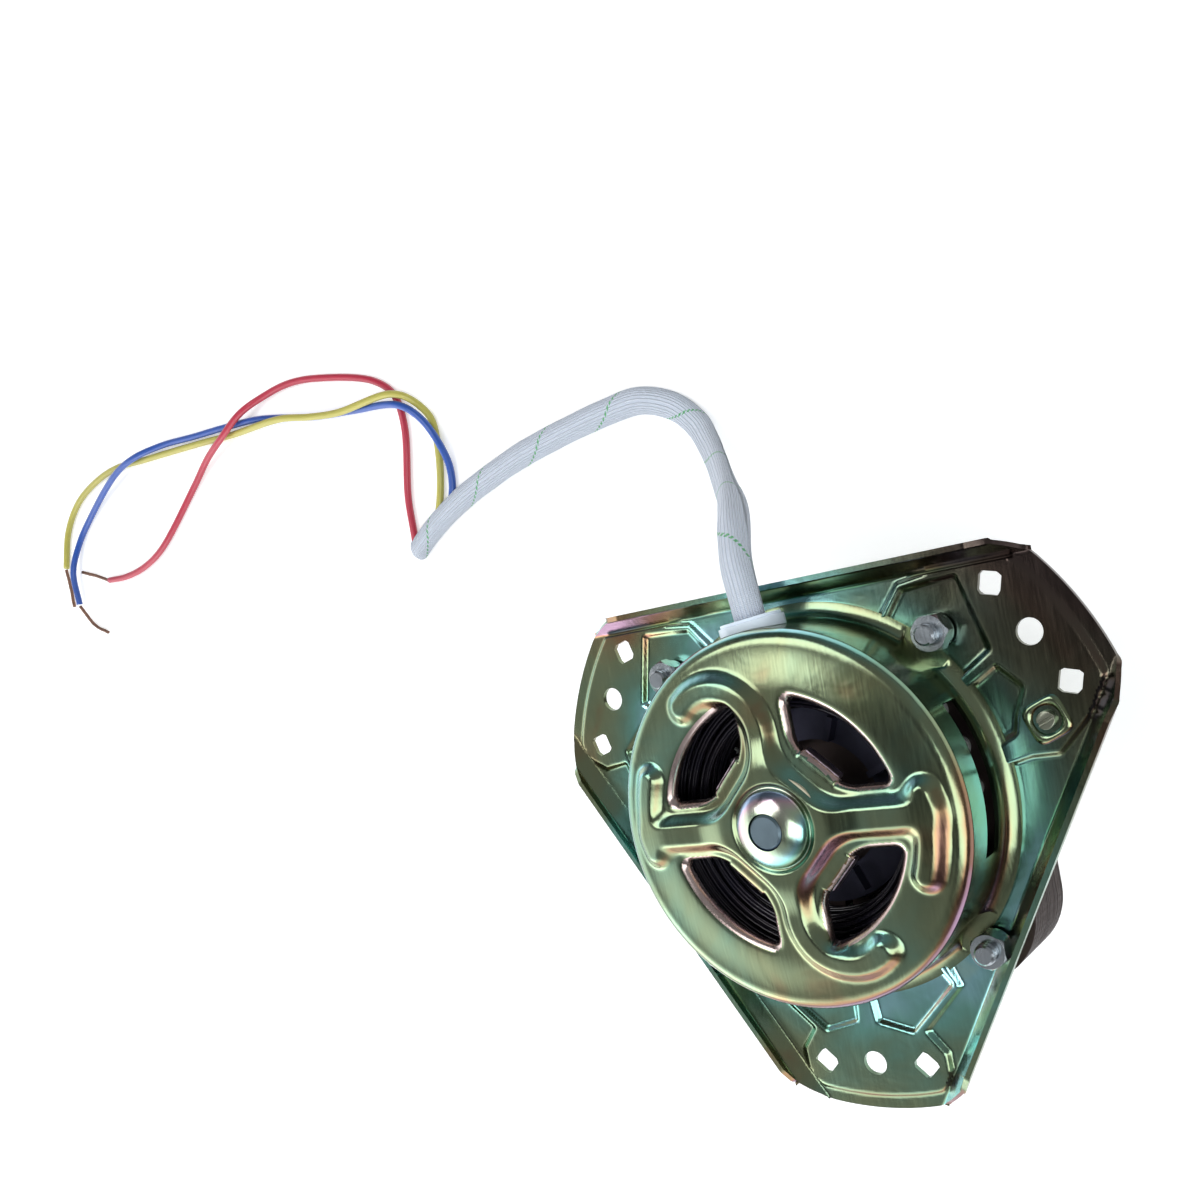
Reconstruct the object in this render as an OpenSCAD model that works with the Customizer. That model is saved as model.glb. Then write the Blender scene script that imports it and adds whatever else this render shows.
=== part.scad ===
// Spin tub motor with a three-lobed mounting plate.
// The origin is the centre of the mounting hole circle, on the top face of the lobe pads.
// +Z runs along the shaft's axis towards the end cup, and the driven end of the shaft points down.

/* [Mounting plate] */
// Diameter of the circle through the round mounting holes
hole_circle_d = 164; // [160:1:168]
// Diameter of a round mounting hole
hole_d = 7.5; // [6:0.1:8]
// Side of a square mounting hole
square_hole = 6.4; // [5:0.1:7]
// Distance between neighbouring holes of one lobe
hole_pitch = 16.9; // [15:0.1:18]
// Distance from a round hole's centre to the outer edge of its lobe
lobe_edge = 15; // [13:0.5:18]
// Distance from the axis to the folded edge that has no bolt beside it
edge_d = 66; // [65:0.5:68]
// Distance from the axis to the two folded edges beside the bolts
bolt_edge_d = 68; // [67.5:0.5:70]
// Thickness of the plate
plate_sheet = 1.6; // [1.2:0.1:2]
// Height of the pads above the sunk web
pad_rise = 1.5; // [1:0.1:2]
// Height of the folded edges above the pads
edge_h = 3.4; // [2.5:0.1:5]
// Diameter of the plate's middle opening
plate_bore_d = 106; // [104:0.5:107]

/* [End cup] */
// Outer radius of the cup's wall
cup_r = 55.7; // [55:0.1:56.5]
// Height of the cup's face above the sunk web
cup_h = 29; // [27:0.5:32]
// Thickness of both housings
cup_sheet = 1.2; // [1:0.1:1.4]
// Outer radius of the cup's flange
flange_r = 60.5; // [60:0.1:61]
// Rounding of the cup's rim
rim_round = 4; // [3:0.5:5]
// Outer radius of the windows
window_r = 37; // [35:0.5:38]
// Distance from the axis to a window's straight tab
window_tab_d = 22.8; // [22:0.2:24]
// Half the width of the spokes between the windows
spoke_half = 8.6; // [8:0.2:9.5]
// Height of the pressed ribs
rib_h = 1.8; // [1.2:0.1:2.2]

/* [Hubs and bearings] */
// Outer radius of the raised hub ring
hub_r = 16.8; // [16:0.2:18]
// Height of the hub ring above the face
hub_rise = 4.5; // [4:0.1:5]
// Outer radius of the bearing dome
dome_r = 11.4; // [11:0.1:12]
// Height of the dome's cut top above the face
dome_top = 8.1; // [7.5:0.1:8.5]
// Length of a bearing bush
bush_len = 11; // [9:0.5:12]
// Radial clearance of the shaft in its bushes
bush_clear = 0.04; // [0.02:0.01:0.08]

/* [Stator] */
// Width across the flats of the stator core
core_w = 114.4; // [112:0.2:116]
// Steel between the centre of a bolt hole and the core's corner
core_corner_edge = 8.2; // [7:0.2:10]
// Height of the lamination stack
core_h = 25; // [20:1:32]
// Radius of the stator's bore
bore_r = 31; // [30:0.2:32]
// Number of slots
slot_count = 24; // [16:4:28]
// Radius at the bottom of the slots
slot_r = 49.3; // [48:0.1:50]
// Diameter of a turn bundle in the rear end winding
bundle_d = 3.5; // [3:0.1:3.6]
// Distance between neighbouring turn bundles
bundle_pitch = 4.1; // [4.1:0.1:4.3]
// Loops in one layer of the rear end winding
layer_loops = 4; // [3:1:4]
// Height of the front end winding
front_winding_h = 11; // [8:1:12]

/* [Front housing] */
// Depth of the front housing below the core
front_h = 18; // [17:1:24]

/* [Rotor] */
// Diameter of the shaft
shaft_d = 10; // [9.6:0.1:10.4]
// Length of the shaft below the front dome
shaft_out = 21.9; // [18:0.5:30]
// Air gap between rotor and stator
air_gap = 0.35; // [0.3:0.05:0.5]
// Number of rotor bars
bar_count = 26; // [18:2:30]
// Diameter of a rotor bar
bar_d = 3.4; // [3:0.1:3.8]
// Height of a rotor end ring
ring_h = 6; // [4:0.5:7]
// Height of the fan blades on an end ring
blade_h = 4; // [2:0.5:4]
// Number of fan blades on an end ring
blade_count = 8; // [6:1:12]

/* [Fasteners] */
// Diameter of the clamp bolts
bolt_d = 6; // [5.6:0.1:6.2]
// Diameter of the circle through the clamp bolts
bolt_circle_d = 128; // [127:0.5:129]
// Width across the flats of nuts and bolt heads
nut_w = 10; // [9.4:0.1:10.2]
// Height of a nut
nut_h = 5; // [4.5:0.1:5.5]
// Length of bolt that stands out of its nut
bolt_proud = 3.4; // [2:0.2:5]

/* [Leads] */
// Width of the flat braided sleeve
sleeve_w = 10.8; // [9:0.2:11]
// Thickness of the flat braided sleeve
sleeve_t = 4.4; // [3.6:0.1:4.6]
// Diameter of an insulated wire
wire_d = 3.2; // [2.8:0.1:3.4]
// Diameter of a bare strand end
strand_d = 2; // [1.6:0.1:2.2]
// Direction in which the leads leave the cup
gland_angle = 95; // [93:1:97]
// Width of the gland's outer flange
gland_w = 21; // [20:0.5:25]
// Height of the gland's outer flange
gland_h = 12.6; // [12:0.2:15]
// Thickness of the gland's outer flange
gland_t = 3.4; // [3:0.2:5]

/* [Hidden] */
$fn = 64;
overlap = 0.01;
fit = 0.05;
hole_clear = 0.2;
gap = 0.3;

web_top = -pad_rise;
web_bot = web_top - plate_sheet;
core_top = web_bot;
core_bot = core_top - core_h;
face_top = web_top + cup_h;
front_face = core_bot - front_h;
bush_sink = 0.2;
rear_bush_z = face_top - bush_sink;
front_bush_z = front_face + bush_sink;
shaft_r = shaft_d / 2;
shaft_rear = face_top + dome_top + 0.7;
shaft_tip = front_face - dome_top - shaft_out;
bolt_r = bolt_circle_d / 2;
bolt_angles = [45, 135, 225, 315];
lobe_angles = [30, 150, 270];
seat_r = dome_r - cup_sheet;
lobe_r = hole_circle_d / 2 + lobe_edge;
front_inset = 1.2;
core_corner_r = max(front_inset + 0.5, (core_w / sqrt(2) - bolt_r - core_corner_edge) / (sqrt(2) - 1));

// Mounting plate

// Kinds of lobe side: 0 is plain, 1 has a clamp bolt, 2 has the slotted screw.
lobe_sides = [[1, 2], [0, 1], [0, 0]];
fan_sides = [
    [[25, lobe_r + 2], [25, 78], [20, 71.5], [33, 58], [30, 50]],
    [[25, lobe_r + 2], [28.5, 79], [35, 61], [31, 50]],
    [[25, lobe_r + 2], [28, 79], [31, 67], [27, 60], [24, 50]]
];
pockets = [
    [[3.2, 54], [4.3, 68.2], [14.6, 71.1], [29, 57], [24, 50]],
    [[3.2, 54], [4, 69.5], [17, 73], [24.5, 75], [31.5, 61], [27, 50]],
    [[2.2, 54], [2, 68], [10, 70], [14.5, 63.7], [17.9, 60.5], [17, 52]]
];
pad_r = lobe_r - 3.7;
strip_run = 4;
fold_strip = 4;

module place_lobe(a) rotate(a - 90) children();
function flip(points) = [for (i = [len(points) - 1:-1:0]) [-points[i][0], points[i][1]]];

// A lobe's raised pad, drawn with the lobe pointing up
module lobe_pad2d(kinds) difference() {
    intersection() {
        circle(pad_r);
        polygon(concat(fan_sides[kinds[1]], flip(fan_sides[kinds[0]])));
    }
    polygon(pockets[kinds[1]]);
    polygon(flip(pockets[kinds[0]]));
    circle(flange_r + 1);
}

module plate_outline2d(inset) intersection_for(side = [[0, edge_d], [-120, bolt_edge_d], [120, bolt_edge_d]])
    rotate(side[0]) translate([-2 * lobe_r, -2 * lobe_r]) square([4 * lobe_r, 2 * lobe_r + side[1] - inset]);

// A long edge, folded up over a sloping strip, on the side whose outward direction is +Y
module folded_edge(d) {
    run = sqrt(lobe_r * lobe_r - d * d);
    s = plate_sheet;
    b = web_bot;
    slant = s * tan(22.5);
    difference() {
        rotate([90, 0, 90]) translate([0, 0, -run]) linear_extrude(2 * run)
            polygon([
                [d - strip_run - 2, b], [d - strip_run, b], [d, b + fold_strip], [d, edge_h],
                [d - s, edge_h], [d - s, b + fold_strip + slant],
                [d - strip_run - slant, b + s], [d - strip_run - 2, b + s]
            ]);
        for (m = [0, 1])
            mirror([m, 0, 0]) translate([0, d + 1, 0]) rotate([90, 0, 0]) linear_extrude(strip_run + 4)
                polygon([
                    [run - 14, edge_h + overlap], [run - 6, web_top + 2.2], [run + 1, web_top + 0.4],
                    [run + 1, edge_h + 1], [run - 14, edge_h + 1]
                ]);
    }
}

module mounting_plate() color([0.55, 0.62, 0.42]) difference() {
    intersection() {
        union() {
            translate([0, 0, web_bot]) linear_extrude(plate_sheet) difference() {
                plate_outline2d(strip_run + 1);
                intersection() {
                    plate_outline2d(strip_run + 3);
                    union() for (i = [0:2])
                        place_lobe(lobe_angles[i]) pad_hollow2d(lobe_sides[i]);
                }
            }
            for (i = [0:2])
                place_lobe(lobe_angles[i]) translate([0, 0, -plate_sheet])
                    linear_extrude(plate_sheet) lobe_pad2d(lobe_sides[i]);
            folded_edge(edge_d);
            for (a = [-120, 120])
                rotate(a) folded_edge(bolt_edge_d);
        }
        translate([0, 0, web_bot - 1]) cylinder(r = lobe_r, h = edge_h - web_bot + 2);
    }
    translate([0, 0, web_bot - 1]) cylinder(d = plate_bore_d, h = 20);
    for (a = lobe_angles)
        place_lobe(a) lobe_holes();
    for (a = bolt_angles)
        rotate(a) translate([bolt_r, 0, 0]) {
            translate([0, 0, web_bot - 1]) cylinder(d = bolt_d + 2 * hole_clear, h = 20);
            translate([0, 0, web_top]) cylinder(r = bolt_pocket_r, h = 20);
        }
    screw_place() translate([0, 0, web_bot - 1]) cylinder(d = screw_d + 2 * hole_clear, h = 20);
}
bolt_pocket_r = nut_w / 2 / cos(30) + 1.2;

// The underside of a raised pad follows its top
module pad_hollow2d(kinds) offset(delta = -plate_sheet) difference() {
    lobe_pad2d(kinds);
    circle(flange_r + 3);
}

module lobe_holes() translate([0, hole_circle_d / 2, web_bot - 1]) {
    cylinder(d = hole_d, h = 20);
    for (s = [-1, 1])
        translate([s * hole_pitch, 0, 10]) rotate(45) cube([square_hole, square_hole, 20], center = true);
}

// End cup and front housing

// Half section of the solid inside a drawn cup's outer skin, or its inner skin where t is the sheet
flare = 3;
dome_clear = 1.2;
hub_slope = 2.4;
module cup_section2d(h, r, f, t) {
    top = h - t;
    wall = r - t;
    rc = rim_round - t;
    translate([0, t == 0 ? 0 : -1]) square([wall, top - rc + (t == 0 ? 0 : 1)]);
    square([wall - rc, top]);
    translate([wall - rc, top - rc]) circle(rc);
    if (t == 0)
        square([f, cup_sheet]);
    difference() {
        translate([wall - 1, 0]) square([flare + t + 1, cup_sheet + flare]);
        translate([r + flare, cup_sheet + flare]) circle(flare + t);
    }
    polygon([
        [0, top - 1], [hub_r - t + hub_slope, top - 1], [hub_r - t + hub_slope, top],
        [hub_r - t, top + hub_rise], [0, top + hub_rise]
    ]);
    intersection() {
        translate([0, h - bush_sink]) circle(dome_r - t);
        square([dome_r, h + dome_top - t * 0.5]);
    }
}

module cup_revolve(h, r, f, t) rotate_extrude($fn = 96) intersection() {
    cup_section2d(h, r, f, t);
    translate([0, -2]) square([200, 200]);
}

// Pressed ribs: two wide spokes with curved heads, and two spokes that turn over in a hook
wide_rib = 9.6;
head_rib = 6.8;
hook_rib = 7.8;
head_arc_r = 45.3;
hook_r = 14.6;
hook_start = [-0.7, 26.6];
hook_turn = 133;
function arc_path(r, a0, a1, n) = [for (i = [0:n]) let (a = a0 + (a1 - a0) * i / n) [r * cos(a), r * sin(a)]];
function band(r, a0, a1, w) = concat(arc_path(r + w / 2, a0, a1, 8), arc_path(r - w / 2, a1, a0, 8));
// A spoke that runs straight out from the hub and then turns over in a hook, w wide
function hooked_rib(w) = concat([[hook_start[0] - w / 2, hub_r - 2], [hook_start[0] + w / 2, hub_r - 2]],
    [for (p = band(hook_r, 0, hook_turn, w)) hook_start - [hook_r, 0] + p]);
wide_rib_side = 0.3;
wide_rib_end = 43;
head_arc = [-24, 9];
module cup_ribs2d(less) for (turn = [0, 180]) rotate(turn) {
    translate([hub_r - 2, wide_rib_side - (wide_rib - less) / 2]) square([wide_rib_end - hub_r + 2, wide_rib - less]);
    polygon(band(head_arc_r, head_arc[0], head_arc[1], head_rib - less));
    polygon(hooked_rib(hook_rib - less));
}
module cup_ribs(less) translate([0, 0, -0.5]) linear_extrude(rib_h + 0.5) cup_ribs2d(less);

// A window between two spokes: straight sides, a chord with the bent tab, and an arc outside.
// Each point is [x, y, radius of the corner].
function rounded(p) = [for (i = [0:len(p) - 1])
    let (here = [p[i][0], p[i][1]], q = p[(i + len(p) - 1) % len(p)], s = p[(i + 1) % len(p)],
        to_q = unit([q[0], q[1]] - here), to_s = unit([s[0], s[1]] - here),
        half = acos(to_q * to_s) / 2, back = p[i][2] / tan(half),
        mid = here + unit(to_q + to_s) * p[i][2] / sin(half))
    each p[i][2] == 0 ? [here] : [for (t = [0:0.25:1])
        let (v = unit((here + to_q * back - mid) * (1 - t) + (here + to_s * back - mid) * t)) mid + v * p[i][2]]];
window_corner = 2.6;
window_points = let (r = window_r, e = spoke_half, c = window_tab_d * sqrt(2) - e, a = asin(e / r), k = window_corner)
    rounded(concat([[c, e, k], [r * cos(a), e, k]],
        [for (i = [1:9]) let (t = a + (90 - 2 * a) * i / 10) [r * cos(t), r * sin(t), 0]],
        [[e, r * cos(a), k], [e, c, k]]));
module window2d() rotate(-45) polygon(window_points);

window_angles = [45, 135, 225, 315];
tab_h = 5;
tab_w = 13;

dent_r = 10;
dent_z = 10;
// Hollows beside the wall that leave room to turn the nuts
module dents(r, z0) for (a = bolt_angles)
    rotate(a) translate([bolt_r, 0, 0]) rotate_extrude() intersection() {
        translate([0, z0]) square([r, dent_z + r]);
        union() {
            translate([0, z0]) square([r, dent_z - z0]);
            translate([0, dent_z]) circle(r);
        }
    }

module drawn_cup(h, r, f, ribs) {
    difference() {
        difference() {
            union() {
                cup_revolve(h, r, f, 0);
                if (ribs)
                    translate([0, 0, h]) cup_ribs(0);
            }
            if (ribs)
                dents(dent_r, cup_sheet);
        }
        difference() {
            union() {
                cup_revolve(h, r, f, cup_sheet);
                if (ribs)
                    translate([0, 0, h - cup_sheet]) cup_ribs(1);
            }
            if (ribs)
                dents(dent_r + cup_sheet, -3);
        }
        for (a = window_angles)
            rotate(a) translate([0, 0, h - 9]) linear_extrude(20) window2d();
        translate([0, 0, h]) cylinder(r = shaft_r + dome_clear, h = 20);
    }
    for (a = window_angles)
        rotate(a) window_tab(h);
}

// The straight tab of a window, bent in
module window_tab(h) translate([window_tab_d - cup_sheet, -tab_w / 2, h - cup_sheet / 2 - tab_h])
    cube([cup_sheet - fit, tab_w, tab_h]);

slot_half_angle = 23;
slot_z = [6.5, 15.5];
module vent_slot() rotate(5.5 - slot_half_angle) translate([0, 0, slot_z[0]])
    rotate_extrude(angle = 2 * slot_half_angle, $fn = 96) translate([cup_r - 6, 0])
        square([20, slot_z[1] - slot_z[0]]);

gland_z = 13;
module gland_place() rotate(gland_angle) translate([0, 0, gland_z]) rotate([0, 90, 0]) rotate(90) children();
// A long rounded outline, w wide and h high
module oval2d(w, h) union() {
    square([w - h, h], center = true);
    for (s = [-1, 1])
        translate([s * (w - h) / 2, 0]) circle(h / 2);
}
gland_neck = [17, 8.6];

module end_cup() color([0.6, 0.66, 0.45]) difference() {
    union() {
        translate([0, 0, web_top]) drawn_cup(cup_h, cup_r, flange_r, true);
        for (a = bolt_angles)
            rotate(a) translate([bolt_r, 0, web_top]) cylinder(r = ear_r, h = cup_sheet);
    }
    for (a = [0, 180, 270])
        rotate(a) translate([0, 0, web_top]) vent_slot();
    gland_place() linear_extrude(90) oval2d(gland_neck[0], gland_neck[1]);
    for (a = bolt_angles)
        rotate(a) translate([bolt_r, 0, web_top - 1]) cylinder(d = bolt_d + 2 * hole_clear, h = 12);
}
ear_r = nut_w / 2 / cos(30) + 0.6;

module front_housing() color([0.6, 0.66, 0.45]) difference() {
    translate([0, 0, core_bot]) mirror([0, 0, 1]) union() {
        drawn_cup(front_h, front_r, front_r + flare, false);
        linear_extrude(cup_sheet) difference() {
            rounded_square2d(core_w - 2 * front_inset, core_corner_r - front_inset);
            circle(front_r + flare - 0.5);
        }
    }
    for (a = bolt_angles)
        rotate(a) translate([bolt_r, 0, core_bot - 6]) cylinder(d = bolt_d + 2 * hole_clear, h = 12);
}
front_r = 52.5;

// Stator

module rounded_square2d(w, c) union() {
    square([w, w - 2 * c], center = true);
    square([w - 2 * c, w], center = true);
    for (x = [-1, 1], y = [-1, 1])
        translate([x * (w / 2 - c), y * (w / 2 - c)]) circle(c);
}

slot_mouth = 2.4;
slot_in = [bore_r + 2.2, 2.3];
slot_end_r = 3.3;
// One slot along +X, drawn smaller by in on every side
module slot2d(in) {
    e = slot_end_r - in;
    x0 = slot_in[0] + in;
    x1 = slot_r - slot_end_r;
    polygon([[x0, -slot_in[1] + in], [x1, -e], [x1, e], [x0, slot_in[1] - in]]);
    translate([x1, 0]) circle(e);
}

module stator_core() color([0.24, 0.18, 0.17]) translate([0, 0, core_bot]) linear_extrude(core_h) difference() {
    rounded_square2d(core_w, core_corner_r);
    circle(bore_r, $fn = 96);
    for (i = [0:slot_count - 1])
        rotate(i * 360 / slot_count) {
            slot2d(0);
            translate([bore_r - 2, -slot_mouth / 2]) square([6, slot_mouth]);
        }
    for (a = bolt_angles)
        rotate(a) translate([bolt_r, 0]) circle(d = bolt_d + 2 * hole_clear);
}

liner_t = 0.3;
liner_proud = 1.5;
module slot_liners() color([0.86, 0.88, 0.84]) translate([0, 0, core_bot - liner_proud])
    linear_extrude(core_h + 2 * liner_proud)
        for (i = [0:slot_count - 1])
            rotate(i * 360 / slot_count) difference() {
                slot2d(fit);
                slot2d(fit + liner_t);
                translate([0, -slot_mouth / 2]) square([slot_in[0] + 2, slot_mouth]);
            }

slot_fill = fit + liner_t + fit;
bars_top = core_top + 2.5;
front_ring_top = core_bot - liner_proud - gap;
ring_in = bore_r + 3;
ring_out = slot_r + 1.2;
module front_winding() color([0.45, 0.2, 0.1]) {
    translate([0, 0, front_ring_top - 1]) linear_extrude(bars_top - front_ring_top + 1)
        for (i = [0:slot_count - 1])
            rotate(i * 360 / slot_count) slot2d(slot_fill);
    rotate_extrude($fn = 96) translate([ring_in, front_ring_top - front_winding_h])
        rounded_box2d(ring_out - ring_in, front_winding_h, 3);
}
module rounded_box2d(w, h, c) {
    translate([c, 0]) square([w - 2 * c, h]);
    translate([0, c]) square([w, h - 2 * c]);
    for (x = [c, w - c], y = [c, h - c])
        translate([x, y]) circle(c);
}

// Rear end winding: one unbroken bundle that spirals in and out again in four layers
layers = 4;
steps = 24;
coil_r1 = ring_out - bundle_d / 2;
coil_r0 = coil_r1 - layer_loops * bundle_pitch;
coil_z0 = bars_top + gap + bundle_d / 2;
coil_turns = layers * layer_loops;
function smooth(t) = let (u = min(1, max(0, t))) u * u * (3 - 2 * u);
function coil_layer(s) = let (k = round(s / layer_loops))
    k <= 0 ? 0 : k >= layers ? layers - 1 : k - 1 + smooth((s - k * layer_loops) * 2 + 0.5);
function coil_in(s) = let (m = s / layer_loops, f = m - 2 * floor(m / 2)) f <= 1 ? f : 2 - f;
function coil_at(s) = let (r = coil_r1 - (coil_r1 - coil_r0) * coil_in(s), a = 360 * s)
    [r * cos(a), r * sin(a), coil_z0 + bundle_pitch * coil_layer(s)];
coil_start = [for (d = [bundle_d, bundle_d / 2]) coil_at(0) - [0, d, 0]];
coil_path = concat(coil_start, [for (i = [0:coil_turns * steps]) coil_at(i / steps)],
    [for (d = [bundle_d / 2, bundle_d]) coil_at(coil_turns) + [0, d, 0]]);
coil_mid = [for (i = [0:coil_turns * steps]) coil_at(i / steps)];
coil_gap = min([for (i = [0:len(coil_mid) - 1]) for (j = [i + steps / 2:1:min(len(coil_mid) - 1, i + 9 * steps)])
    norm(coil_mid[i] - coil_mid[j])]) - bundle_d;
echo(str("rear end winding: least gap between its turns ", coil_gap, " mm"));
module rear_winding() color([0.15, 0.14, 0.2]) swept_tube(coil_path, bundle_d, bundle_d, 6);

// A tube swept along points: w wide, across the path and level, and t thick
module swept_tube(p, w, t, sides) {
    n = len(p);
    dir = [for (i = [0:n - 1]) unit(p[min(n - 1, i + 1)] - p[max(0, i - 1)])];
    side = [for (d = dir) unit([d[1], -d[0], 0])];
    up = [for (i = [0:n - 1]) cross(side[i], dir[i])];
    points = [for (i = [0:n - 1]) for (k = [0:sides - 1])
        p[i] + side[i] * w / 2 * cos((k + 0.5) * 360 / sides) + up[i] * t / 2 * sin((k + 0.5) * 360 / sides)];
    walls = [for (i = [0:n - 2]) for (k = [0:sides - 1]) for (h = [0, 1])
        let (a = i * sides + k, b = i * sides + (k + 1) % sides)
        h == 0 ? [a, b, b + sides] : [a, b + sides, a + sides]];
    first = [for (k = [sides - 1:-1:0]) k];
    last = [for (k = [0:sides - 1]) (n - 1) * sides + k];
    polyhedron(points = points, faces = concat([first], walls, [last]));
}
function unit(v) = v / norm(v);

// Rotor

module shaft() color([0.72, 0.72, 0.74]) difference() {
    union() {
        translate([0, 0, shaft_tip + shaft_end]) cylinder(r = shaft_r, h = shaft_rear - shaft_tip - shaft_end - 0.6);
        translate([0, 0, shaft_tip + 1]) cylinder(r = shaft_r - shaft_step, h = shaft_end);
        translate([0, 0, shaft_tip]) cylinder(r1 = shaft_r - 1, r2 = shaft_r - shaft_step, h = 1);
        translate([0, 0, shaft_rear - 0.6]) cylinder(r1 = shaft_r, r2 = shaft_r - 0.6, h = 0.6);
    }
    translate([shaft_r - 1, -shaft_r, shaft_tip - 1]) cube([5, shaft_d, shaft_flat + 1]);
    translate([0, 0, groove_z - groove_w]) difference() {
        cylinder(r = shaft_r + 1, h = groove_w);
        translate([0, 0, -1]) cylinder(r = shaft_r - groove_depth, h = groove_w + 2);
    }
}
// The driven end is stepped down a little and has a flat for the wheel's screw
shaft_end = 9;
shaft_step = 0.3;
shaft_flat = shaft_end - 0.6;

rotor_r = bore_r - air_gap;
bar_ring_r = rotor_r - bar_d / 2 - 1.2;
module bar_places() for (i = [0:bar_count - 1])
    rotate(i * 360 / bar_count) translate([bar_ring_r, 0, 0]) children();

module rotor_core() color([0.5, 0.5, 0.52]) difference() {
    translate([0, 0, core_bot]) cylinder(r = rotor_r, h = core_h, $fn = 96);
    translate([0, 0, core_bot - 1]) cylinder(r = shaft_r + fit, h = core_h + 2);
    bar_places() translate([0, 0, core_bot - 1]) cylinder(d = bar_d + 2 * fit, h = core_h + 2);
}

end_ring_in = 20;
end_ring_out = rotor_r - 0.8;
module end_ring() {
    difference() {
        cylinder(r = end_ring_out, h = ring_h);
        translate([0, 0, -1]) cylinder(r = end_ring_in, h = ring_h + 2);
    }
    for (i = [0:blade_count - 1])
        rotate((i + 0.5) * 360 / blade_count) translate([end_ring_in + 1, -1, ring_h - 1])
            cube([end_ring_out - end_ring_in - 2.5, 2, blade_h + 1]);
}
module rotor_cage() color([0.78, 0.79, 0.8]) {
    translate([0, 0, core_top]) end_ring();
    translate([0, 0, core_bot]) mirror([0, 0, 1]) end_ring();
    bar_places() translate([0, 0, core_bot - 1]) cylinder(d = bar_d, h = core_h + 2);
}

washer_t = 0.8;
washer_r = 8.5;
spacer_r = 7.5;
bush_half = bush_len / 2;
// Height of the stack between the core's end and its bush
rear_stack = rear_bush_z - bush_half - core_top;
front_stack = core_bot - front_bush_z - bush_half;
module shaft_ring(r, h) difference() {
    cylinder(r = r, h = h);
    translate([0, 0, -1]) cylinder(r = shaft_r + fit, h = h + 2);
}
module spacer(stack) shaft_ring(spacer_r, stack - gap - 2 * washer_t);
module washers(stack) for (i = [0, 1])
    translate([0, 0, stack - gap - (2 - i) * washer_t]) shaft_ring(washer_r, washer_t);
module rear_spacer() color([0.9, 0.88, 0.8]) translate([0, 0, core_top]) spacer(rear_stack);
module rear_washers() color([0.5, 0.25, 0.12]) translate([0, 0, core_top]) washers(rear_stack);
module front_spacer() color([0.9, 0.88, 0.8]) translate([0, 0, core_bot]) mirror([0, 0, 1]) spacer(front_stack);
module front_washers() color([0.5, 0.25, 0.12]) translate([0, 0, core_bot]) mirror([0, 0, 1])
    washers(front_stack);

slinger_t = 2.4;
slinger_neck = 2;
// Relief groove between the slinger and the free end that carries the driven wheel
groove_w = 1.2;
groove_depth = 0.4;
groove_z = front_face - dome_top - gap - slinger_t - slinger_neck - gap;
module shaft_slinger() color([0.1, 0.1, 0.1]) translate([0, 0, front_face - dome_top - gap]) mirror([0, 0, 1]) {
    shaft_ring(8, slinger_t + slinger_neck);
    translate([0, 0, slinger_t - 1]) shaft_ring(13, 1.4);
}

// Bearings, each drawn with the bush's middle at the origin and the dome above it

module bush() difference() {
    intersection() {
        sphere(r = seat_r - fit);
        translate([0, 0, -bush_half]) cylinder(r = seat_r, h = bush_len);
    }
    translate([0, 0, -bush_half - 1]) cylinder(r = shaft_r + bush_clear, h = bush_len + 2);
}
// Radius of the bush's outside at height z, with a clearance
function bush_side(z) = sqrt(pow(seat_r + 0.1, 2) - z * z);
clip_r = 19.5;
clip_t = 0.8;
under_face = -cup_sheet + bush_sink - fit;
module bush_clip() rotate_extrude() polygon([
    [bush_side(under_face), under_face], [clip_r, under_face], [clip_r, under_face - clip_t],
    [bush_side(under_face) + 1.6, under_face - clip_t], [bush_side(-4.6) + 0.9, -4.8],
    [bush_side(-4.6), -4.6], [bush_side(-2.8), -2.8]
]);
felt_bot = under_face + fit;
felt_top = hub_rise - cup_sheet + bush_sink - gap;
module felt() difference() {
    translate([0, 0, felt_bot]) cylinder(r = hub_r - cup_sheet - gap, h = felt_top - felt_bot);
    translate([0, 0, felt_bot - 1]) cylinder(r = seat_r + 0.15, h = 20);
    sphere(r = dome_r + 0.1);
}
module rear_place() translate([0, 0, rear_bush_z]) children();
module front_place() translate([0, 0, front_bush_z]) mirror([0, 0, 1]) children();
module rear_bush() color([0.72, 0.5, 0.28]) rear_place() bush();
module rear_bush_clip() color([0.6, 0.6, 0.6]) rear_place() bush_clip();
module rear_felt() color([0.85, 0.8, 0.68]) rear_place() felt();
module front_bush() color([0.72, 0.5, 0.28]) front_place() bush();
module front_bush_clip() color([0.6, 0.6, 0.6]) front_place() bush_clip();
module front_felt() color([0.85, 0.8, 0.68]) front_place() felt();

// Fasteners

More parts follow.
